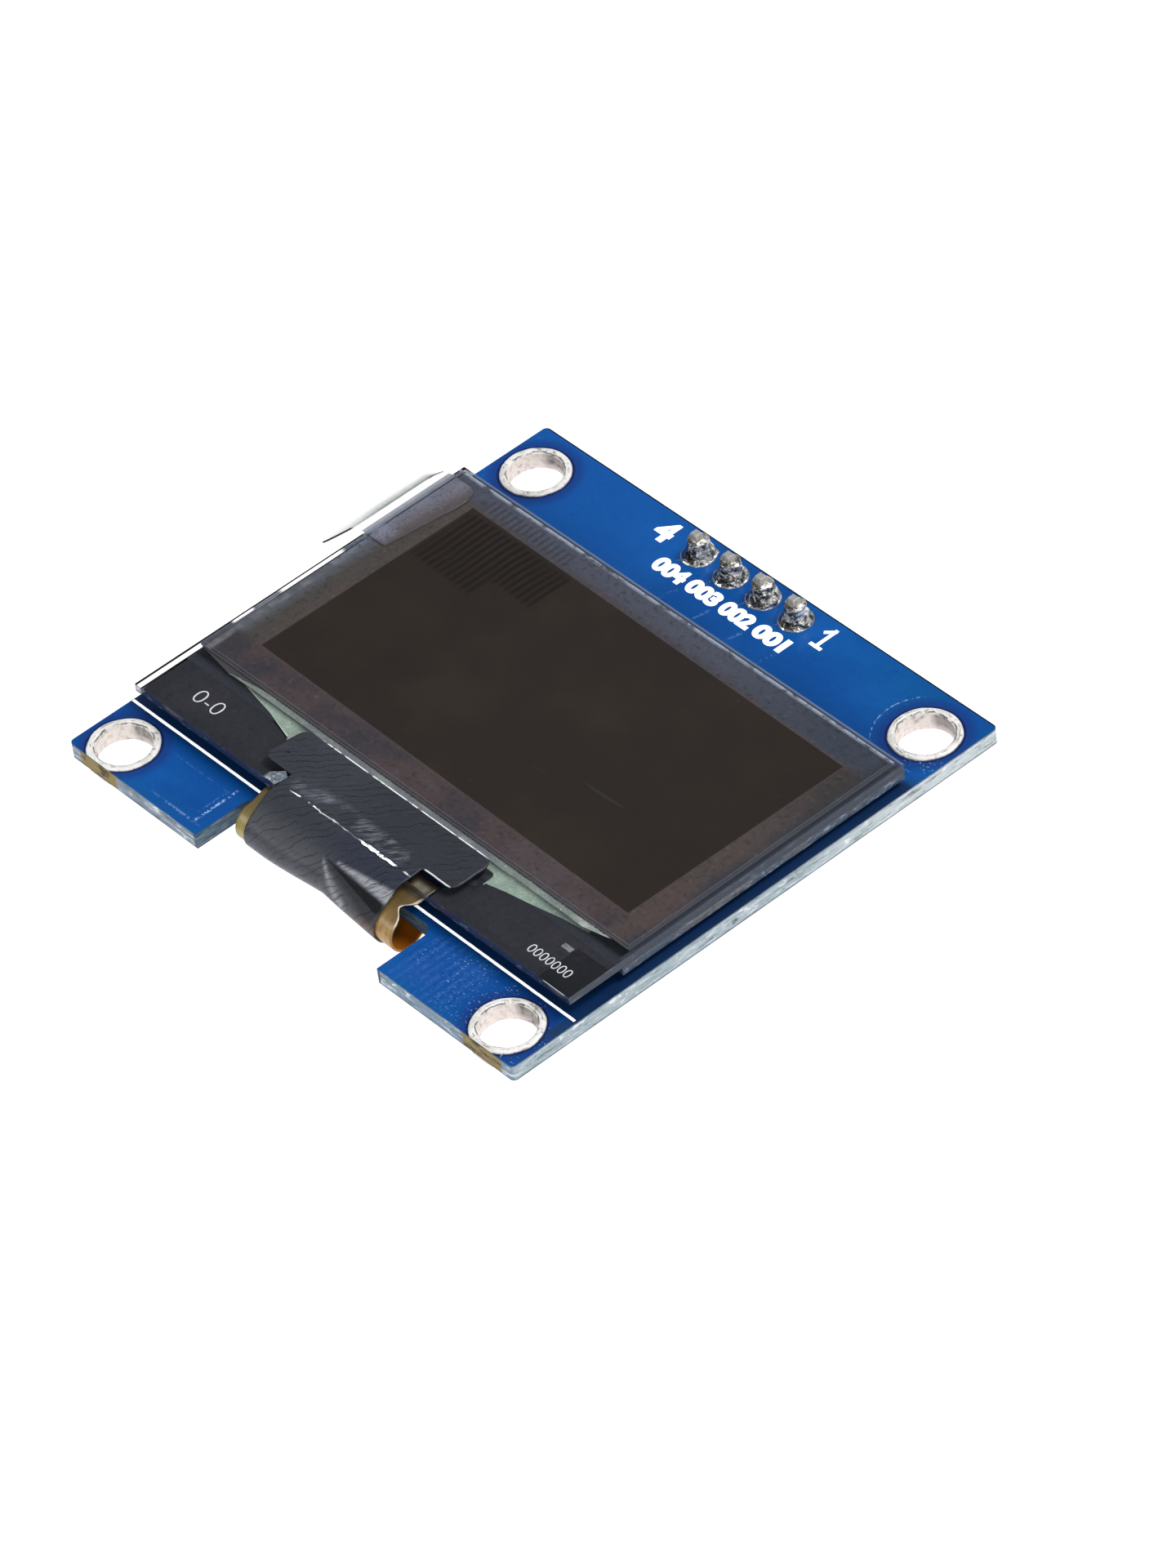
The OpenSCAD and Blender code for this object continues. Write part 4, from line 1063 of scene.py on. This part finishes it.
def solder_piece(i, look):
    """Hollow-flanked, crinkled cone of solder with a thin foot."""
    node = f"header_solder_{i}"
    box = Box(node)
    base, top = board.z1, box.z1
    foot = (box.x1 - box.x0) / 2
    neck = 0.5
    rows = 30
    profile = [(0.02, box.z0), (neck, box.z0), (neck, base - 0.02), (foot + 0.06, base + 0.004)]
    profile += [
        (neck + (foot - neck) * (1 - t) ** 1.9, base + 0.02 + (top - base - 0.02) * t)
        for t in (k / rows for k in range(rows + 1))
    ]
    profile += [(0.3, top + 0.06), (0.02, top + 0.04)]
    lean = 0.35 + 0.25 * math.sin(3.1 * i)

    def crinkled(r, z, a, j):
        if j < 4 or j > 3 + rows:
            return r, z
        t = (z - base) / (top - base)
        px, py = r * math.cos(a), r * math.sin(a)
        fold = abs(bumps(px, py, z * 1.4, 1.5, 5.3 * i)) * 0.5 - 0.12
        crinkle = abs(bumps(px, py, z, 4.0, 9.1 * i)) * 0.12
        side = 0.5 + 0.5 * math.cos(a - lean)
        r += side * ((fold * 0.75 + crinkle) * (1 - 0.55 * t) + 0.16 * t)
        return max(r, 0.36), z

    shape = lathe(profile, box.x, box.y, 96, crinkled)
    return piece(f"solder_cone_{i}", shape, look, replaced=[node])


# ---- Ribbon and tape: thin sheets along one path ----


def fold_point(r, angle):
    """Point (y, z) of the loop at an angle in degrees."""
    a = math.radians(angle)
    return np.array([FOLD_Y + r * math.cos(a), FOLD_Z + r * math.sin(a)])


def easing(p0, h0, p1, h1, pull, steps):
    """Points of a smooth curve from p0 to p1 that leaves along h0 and arrives along h1."""
    p0, h0, p1, h1 = (np.array(v, float) for v in (p0, h0, p1, h1))
    q0, q1 = p0 + pull * h0, p1 - pull * h1
    return [
        (1 - t) ** 3 * p0 + 3 * t * (1 - t) ** 2 * q0 + 3 * t * t * (1 - t) * q1 + t**3 * p1
        for t in (k / steps for k in range(1, steps))
    ]


def straight(p0, p1, steps):
    p0, p1 = np.array(p0, float), np.array(p1, float)
    return [p0 + (p1 - p0) * k / steps for k in range(steps + 1)]


def dent(x, p):
    """Depth of the pinch, a cone with its tip above the fold."""
    a = math.degrees(math.atan2(p[1] - FOLD_Z, p[0] - FOLD_Y)) % 360
    reach = share(a, 104, 200) * (1 - share(a, 230, 285))
    if reach <= 0:
        return 0.0
    return DENT_DEPTH * reach * max(1 - abs(x - DENT_X) / (DENT_W * reach), 0.0) ** DENT_SHARP


def ribbon_path():
    top_z, low_z = glass.z0 - RIBBON_T / 2, -RIBBON_T / 2
    lift, land = [glass.y0, top_z], [LAND_Y, low_z]
    path = straight([glass.y0 + BOND_L, top_z], lift, 4)
    path += easing(lift, [-1, 0], fold_point(FOLD_R, 90), [-1, 0], 0.55, 20)
    path += [fold_point(FOLD_R, 90 + 3 * k) for k in range(61)]
    path += easing(path[-1], [1, 0], land, [1, 0], 0.55, 12)
    return path + straight(land, [ribbon_box.y1, low_z], 6)


def tape_path(flap_far, flap_near):
    r = FOLD_R + TAPE_OFFSET
    z, low_z = glass.z1 + TAPE_T / 2, -RIBBON_T / 2 - TAPE_OFFSET
    lift, land = [glass.y0 - TAPE_T / 2, z], [LAND_Y, low_z]
    path = straight([flap_far, z], [flap_near, z], 54)
    path += straight([flap_near - 0.02, z], lift, 22)
    a = math.radians(JOIN_ANGLE)
    path += easing(lift, [-1, 0], fold_point(r, JOIN_ANGLE), [-math.sin(a), math.cos(a)], 0.7, 30)
    path += [fold_point(r, JOIN_ANGLE + 3 * k) for k in range(49)]
    path += easing(path[-1], [1, 0], land, [1, 0], 0.55, 12)
    return path + straight(land, [TAPE_END_Y, low_z], 3)


def thin_sheet(name, points, flat, columns, look, node):
    """Closed sheet from rows of points: those of each row's under side, then its upper side.

    flat holds the place of each point on the flat sheet, which its look reads.
    """
    m = columns + 1
    rows = len(points) // (2 * m)
    faces = []
    for i in range(0, 2 * rows - 2, 2):
        for a, b in ((i * m, (i + 2) * m), ((i + 1) * m, (i + 3) * m)):
            faces += [(a + j, b + j, b + j + 1, a + j + 1) for j in range(columns)]
        for a, b in ((i * m, (i + 2) * m), (i * m + columns, (i + 2) * m + columns)):
            faces.append((a, b, b + m, a + m))
    for a in (0, (2 * rows - 2) * m):
        faces += [(a + j, a + j + 1, a + m + j + 1, a + m + j) for j in range(columns)]
    thing = piece(name, (points, faces), look, replaced=[node])
    data = thing.data.attributes.new("flat", "FLOAT_VECTOR", "POINT")
    data.data.foreach_set("vector", np.array(flat, np.float32).ravel())
    return thing


def sheet(name, path, edges, t, look, node, ripple, columns=96):
    """Sheet that follows a path of (y, z) points; ripple lifts it outwards."""
    path = np.array(path)
    ahead = np.vstack([path[1:], path[-1:]]) - np.vstack([path[:1], path[:-1]])
    ahead = ahead / np.linalg.norm(ahead, axis=1, keepdims=True)
    out = np.stack([ahead[:, 1], -ahead[:, 0]], axis=1)
    run = np.concatenate([[0], np.cumsum(np.linalg.norm(np.diff(path, axis=0), axis=1))])
    points, flat = [], []
    for i, p in enumerate(path):
        left, right = edges(p)
        for side in (-1, 1):
            for j in range(columns + 1):
                x = left + (right - left) * j / columns
                y, z = p + out[i] * (side * t / 2 - dent(x, p) + ripple(x, run[i]))
                points.append((x, y, z))
                flat.append((x, run[i], side))
    return thin_sheet(name, points, flat, columns, look, node)


def ribbon_piece(look):
    bite_at = fold_point(FOLD_R, BITE_ANGLE)

    def edges(p):
        away = np.linalg.norm(p - bite_at)
        nick = 0.1 * bumps(p[0], p[1], 0, 2.2, 4.4) + 0.06 * bumps(p[0], p[1], 0, 5.5, 1.4)
        bite = BITE_L * math.exp(-((away / BITE_W) ** 2))
        return ribbon_box.x0, ribbon_box.x1 - bite + nick * math.exp(-((away / 1.2) ** 2))

    def ripple(x, run):
        return 0.008 * bumps(x, run, 0, 0.8, 6.6)

    return sheet("amber_ribbon", ribbon_path(), edges, RIBBON_T, look, "flex_ribbon", ripple)


def tape_piece(look):
    """Wide flap on the glass with round corners, then the narrower strip round the fold."""
    far = polar.y0 - FLAP_GAP
    near = far - FLAP_END

    def edges(p):
        if p[0] <= near - 0.01 or p[1] < glass.z1:
            wave = 0.03 * bumps(p[0], p[1], 0, 1.6, 8.8)
            return TAPE_X - STRIP_W / 2 + wave, TAPE_X + STRIP_W / 2 + wave
        d = FLAP_CORNER - min(far - p[0], p[0] - near, FLAP_CORNER)
        inset = FLAP_CORNER - math.sqrt(max(FLAP_CORNER**2 - d**2, 0))
        wave = 0.02 * bumps(p[0], p[1], 0, 2.6, 5.8)
        left = TAPE_X - FLAP_W / 2 + inset + FLAP_SLANT * share(p[0], near, far)
        return left + wave, TAPE_X + FLAP_W / 2 - inset + wave

    def ripple(x, run):
        free = share(run, FLAP_END + 0.5, FLAP_END + 1.6)
        free = free * free * (3 - 2 * free)
        step = 0.02 * math.exp(-(((run - FLAP_END - 0.2) / 0.09) ** 2))
        return 0.03 * bumps(x, run, 0, 0.45, 2.2) * free + step * (0.6 + bumps(x, run, 0, 1.1, 3.3))

    path = tape_path(far, near)
    return sheet("black_tape", path, edges, TAPE_T, look, "light_shield_tape", ripple)


# ---- Printing ----


def strip_piece(name, x0, x1, y0, y1, z, look, ragged):
    """Printed strip with slightly uneven edges."""
    steps = max(int((x1 - x0) / 0.12), 4)
    xs = [x0 + (x1 - x0) * k / steps for k in range(steps + 1)]
    near = [(x, y0 + ragged * bumps(x, 0, 0, 2.4, 1.5)) for x in xs]
    far = [(x, y1 + ragged * bumps(x, 9, 0, 2.4, 2.5)) for x in reversed(xs)]
    return plate(name, near + far, z, z + INK_T, look)


def digits_piece(name, text, middle, z, size, look, bold=0.0, spacing=1.0):
    """Plain figures, fitted to a width and height about their middle."""
    curve = bpy.data.curves.new(name, "FONT")
    curve.body = text
    curve.offset = bold
    curve.space_character = spacing
    curve.resolution_u = 6
    source = link(bpy.data.objects.new(name + "_source", curve))
    bpy.context.view_layer.update()
    mesh = bpy.data.meshes.new_from_object(source)
    bpy.data.objects.remove(source)
    plan = np.array([v.co[:2] for v in mesh.vertices])
    low, high = plan.min(0), plan.max(0)
    plan = (plan - (low + high) / 2) / (high - low) * np.array(size) + np.array(middle)
    n = len(plan)
    points = [(x, y, z + INK_T) for x, y in plan] + [(x, y, z) for x, y in plan]
    faces = [tuple(p.vertices) for p in mesh.polygons]
    sides = {(a, b) for p in faces for a, b in zip(p, p[1:] + p[:1])}
    faces += [tuple(n + v for v in p[::-1]) for p in faces]
    faces += [(b, a, n + a, n + b) for a, b in sorted(sides) if (b, a) not in sides]
    return piece(name, (points, faces), look, smooth=False)


def figure_piece(name, strokes, z, thick, look):
    """Figure drawn as bars between points of the plan, each a little higher than the last."""
    points, faces = [], []
    for start, end in strokes:
        start, end = np.array(start), np.array(end)
        ahead = (end - start) / np.linalg.norm(end - start) * thick / 2
        aside = np.array([-ahead[1], ahead[0]])
        a, b = start - ahead, end + ahead
        top = z + INK_T * (1 + 0.1 * len(points) / 8)
        more, sides = prism([a + aside, a - aside, b - aside, b + aside], z, top)
        faces += [tuple(len(points) + v for v in face) for face in sides]
        points += more
    return piece(name, (points, faces), look, smooth=False)


def printing(ink, glass_print, grey):
    """Line and pin numbers on the board, and small figures behind the ledge."""
    top, under = board.z1, glass.z0 + 0.006
    x0, x1 = board.x0 + 0.05, board.x1 - 0.16
    strip_piece("print_line", x0, x1, -11.935, -11.775, top, ink, 0.01)
    one = [((6.1, 15.15), (6.1, 16.65)), ((6.1, 16.6), (5.72, 16.25)), ((5.78, 15.15), (6.42, 15.15))]
    figure_piece("print_first_pin", one, top, 0.22, ink)
    digits_piece("print_last_pin", "4", (-6.5, 15.95), top, (1.2, 1.65), ink, 0.05)
    for pin in range(1, 5):
        place, size = (6.49 - 2.62 * pin, 14.02), (2.35, 1.12)
        digits_piece(f"print_label_{pin}", f"00{pin}", place, top, size, ink, 0.06, 0.95)
    for side, text, place, size, bold in (
        ("left", "0-0", (-13.63, -9.8), (2.05, 0.95), -0.02),
        ("right", "0000000", (14.15, -10.4), (3.1, 0.6), -0.01),
    ):
        digits_piece(f"ledge_print_{side}", text, place, under, size, glass_print, bold)
    strip_piece("ledge_print_patch", 13.75, 14.45, -9.32, -9.0, under, grey, 0.03)


# ---- Films and resin on and behind the glass ----


def fan_out_piece(look, shade):
    """Track field behind the glass between the black masks, and the dark strips that close them."""
    z = glass.z0
    step = back_glass.y0 - 0.12
    far = polar.y0 + 0.3
    left = [(-13.96, -7.52), (-12.4, -7.81), (-10.7, -8.12), (-8.5, -8.74)]
    right = [(7.5, -8.9), (8.72, -8.62), (10.37, -8.34), (12.36, -7.93), (14.08, -7.72)]
    inner = [(chip.x0 - 0.3, chip.y0 + 0.3), (chip.x1 + 0.3, chip.y0 + 0.3)]
    outline = right + [(14.4, far), (-14.4, far)] + left + inner
    plate("ledge_tracks", outline, z + 0.002, z + 0.004, look)
    for side, line, outer in (("left", left[::-1], masks[0].x0), ("right", right, masks[1].x1)):
        # The strip starts where the edge of the track field crosses the step of the rear glass
        k = next(i for i, (_, y) in enumerate(line) if y > step)
        (xa, ya), (xb, yb) = line[k - 1], line[k]
        start = (xa + (xb - xa) * (step - ya) / (yb - ya), step)
        outline = [start, *line[k:], (line[-1][0], far), (outer, far), (outer, step)]
        plate(f"ledge_shade_{side}", outline, z + 0.005, z + 0.007, shade)


def small_pieces(resin, silver):
    """End of the driver's black fill beside the flap, and the crumpled film at the fold's end."""
    z, r = glass.z0 + 0.008, 0.3
    x1, y0, y1 = chip.x1 + 0.25, chip.y0 - 0.2, chip.y1 + 0.3
    arc = []
    for y, first in ((y0 + r, -90), (y1 - r, 0)):
        angles = [math.radians(first + 15 * i) for i in range(7)]
        arc += [(x1 - r + r * math.cos(a), y + r * math.sin(a)) for a in angles]
    plate("driver_fill_end", [(x1 - 1.7, y0), *arc, (x1 - 1.7, y1)], z, z + 0.01, resin)
    patch = [(-6.75, -11.82), (-6.3, -11.78), (-5.8, -11.82), (-5.7, -11.0)]
    patch += [(-6.15, -10.74), (-6.4, -11.05), (-6.7, -11.3)]
    plate("fold_end_film", patch, glass.z1 + 0.002, glass.z1 + 0.02, silver)


def bead_piece(look):
    """Low ridge of resin between the polarizer and the flap, tapering at both ends."""
    far, near = polar.y0 - 0.002, polar.y0 - BEAD_W
    x1 = polar.x1 - 1.3
    xs = [BEAD_START + (x1 - 1.8 - BEAD_START) * k / 120 for k in range(121)]
    edge = [(x, near + 0.02 * bumps(x, 0, 0, 1.6, 4.1)) for x in xs]
    x0 = polar.x0 + 0.15
    outline = [(x0, far - 0.03), *edge, (x1, far - 0.05), (x1, far), (x0, far)]
    ridge = plate("edge_resin", outline, glass.z1 + 0.002, glass.z1 + 0.014, look)
    ridge.visible_shadow = False
    return ridge


def tab_piece(look):
    """Thin film: glued part with round inner corners, and a free part past the glass."""
    far = tab.y1
    near = far - TAB_L
    columns = 48
    points, flat = [], []
    for out in [-k / 12 for k in range(12, 0, -1)] + [k / 32 for k in range(33)]:
        # Out runs from -1 at the inner edge over 0 at the glass's edge to 1 at the tip
        x = glass.x0 - min(out, 0.0) * (tab.x1 - glass.x0)
        crease, beyond = share(out, 0.0, 0.5), max(2 * out - 1, 0.0)
        if out < 0:
            d = max(TAB_ROUND - (tab.x1 - x), 0.0)
            inset = TAB_ROUND - math.sqrt(max(TAB_ROUND**2 - d * d, 0.0))
            y0, y1 = near + 0.55 * inset, far - inset
        else:
            y0, y1 = near - TAB_FLARE_L * crease, far - 0.1 - 0.55 * max(out - 0.3, 0.0) ** 1.2
        for z in (tab.z0, tab.z0 + TAB_T):
            for v in (j / columns for j in range(columns + 1)):
                reach = crease * TAB_CREASE + beyond * (TAB_REACH - 0.2 * v - TAB_CREASE)
                flare = TAB_FLARE * max(1 - v / 0.27, 0.0) ** 1.3 * crease
                round_end = 0.35 * max(out, 0.0) * share(v, 0.9, 1.0) ** 2
                points.append((x - reach - flare + round_end, y0 + (y1 - y0) * v, z))
                flat.append((max(out, 0.0), v, 0.0))
    return thin_sheet("clear_pull_tab", points, flat, columns, look, "pull_tab")


# ---- Dressing the CAD nodes ----

SMOOTH_ANGLE = math.radians(35)


def soften(names, width):
    """Small rounded edges on CAD pieces."""
    for name in names:
        bevel = nodes[name].modifiers.new("soft_edges", "BEVEL")
        bevel.width = width * MM
        bevel.segments = 2
        bevel.limit_method = "ANGLE"
        bevel.angle_limit = SMOOTH_ANGLE


capacitors = [f"capacitor_{i}" for i in range(1, 7)]
resistors = [f"resistor_{i}" for i in range(1, 6)]

# Name, two colours, spots, relief, roughness and gloss of the plain finishes
seal_resin, drying_paper, black_foam, chip_resin, glass_ink, grey_ink = (
    mottled(*finish)
    for finish in (
        ("seal_resin", ("#2b3644", "#1b222c"), (1.2, 3, 3, 0.4, 0.7), (4, 3, 5, 0.01, 0.4)),
        ("drying_paper", ("#cfd1cf", "#b3b5b2"), (3, 3, 2, 0.45, 0.7), (6, 3, 4, 0.03, 0.6), 0.9),
        ("black_foam", ("#1b1f26", "#343943"), (7, 2, 1, 0.5, 0.7), (7, 2, 1, 0.06, 0.8), 0.95, 0.2),
        ("chip_resin", ("#25272c", "#3a3e45"), (2, 3, 6, 0.4, 0.7), (5, 3, 2, 0.01, 0.5), 0.4),
        ("glass_ink", ("#e6e9ed", "#adb3bb"), (4, 4, 9, 0.5, 0.75), (6, 3, 8, 0.005, 0.4)),
        ("grey_ink", ("#85898d", "#5c6065"), (4, 4, 6, 0.45, 0.7), (6, 3, 8, 0.005, 0.4)),
    )
)
solder_look = solder_tin()

for names, look in (
    (["pcb"], solder_mask()),
    (["front_glass"], panel_glass()),
    (["rear_glass"], rear_glass()),
    (["edge_seal"], seal_resin),
    (["emitter_layers"], emitter_film()),
    (["drying_sheet"], drying_paper),
    (["foam_tape"], black_foam),
    (["polarizer"], polarizer_look()),
    (["protective_film"], clear_film()),
    (["driver_chip"], chip_resin),
    (["ledge_mask_1", "ledge_mask_2"], ledge_black()),
    (["header_block"], moulded_black()),
    ([f"header_pin_{i}" for i in range(1, 5)], pin_plating()),
    (["ribbon_solder"], solder_look),
    (["voltage_regulator"], regulator_look()),
    (capacitors, chip_part("capacitor_look", "#b08a60", "#8a6843", capacitors, 0.5)),
    (resistors, chip_part("resistor_look", "#17181b", "#2a2b2f", resistors, 0.4)),
):
    for name in names:
        nodes[name].data.materials.clear()
        nodes[name].data.materials.append(look.material)
soften(["front_glass", "rear_glass"], 0.02)
soften(["header_block"], 0.06)
soften(capacitors + resistors + ["voltage_regulator"], 0.04)

ring_look = ring_tin()
for number in range(1, 5):
    ring_piece(number, ring_look)
    solder_piece(number, solder_look)
ribbon_piece(ribbon_look())
tape_piece(tape_look())
tab_piece(tab_film())
bead_piece(bead_look())
printing(white_ink(), glass_ink, grey_ink)
fan_out_piece(fan_out(), shade_look())
small_pieces(chip_resin, silver_look())

# ---- Floor, light and camera ----


def studio():
    """Pale floor that glows like a light table, a soft lamp high on the header's side and a fill."""
    half = FLOOR_W / 2
    corners = [(-half, -half), (half, -half), (half, half), (-half, half)]
    mesh = bpy.data.meshes.new("floor")
    mesh.from_pydata([mm(x, y, FLOOR_Z) for x, y in corners], [], [(0, 1, 2, 3)])
    floor = link(bpy.data.objects.new("floor", mesh))
    look = Look("pale_floor", rough=0.9, specular=0.0)
    look.coloured("#898989", ("#858585", look.grain(0.02, seed=1)))
    look.glows(1.0)
    mesh.materials.append(look.material)

    world = bpy.data.worlds.new("studio")
    world.use_nodes = True
    background = world.node_tree.nodes["Background"].inputs
    background["Color"].default_value = (0.97, 0.985, 1.0, 1)
    background["Strength"].default_value = 0.26
    bpy.context.scene.world = world

    for name, place, size, watts in (
        ("key_lamp", (160, 230, 480), 260, 2.1),
        ("front_fill", (300, -260, 160), 300, 0.5),
        ("bend_lamp", (-240, -264, 164), 150, 0.3),
    ):
        data = bpy.data.lights.new(name, "AREA")
        data.shape = "DISK"
        data.size = size * MM
        data.energy = watts
        lamp = link(bpy.data.objects.new(name, data))
        lamp.location = mm(*place)
        lamp.rotation_euler = (-lamp.location).to_track_quat("-Z", "Y").to_euler()


def camera():
    data = bpy.data.cameras.new("camera")
    data.lens = CAMERA_LENS
    data.sensor_width = 36
    data.clip_start = 10 * MM
    data.clip_end = 10
    thing = link(bpy.data.objects.new("camera", data))
    thing.location = mm(*CAMERA_PLACE)
    thing.rotation_euler = [math.radians(a) for a in CAMERA_TURN]
    bpy.context.scene.camera = thing


studio()
camera()
bpy.context.scene.view_settings.view_transform = "Standard"
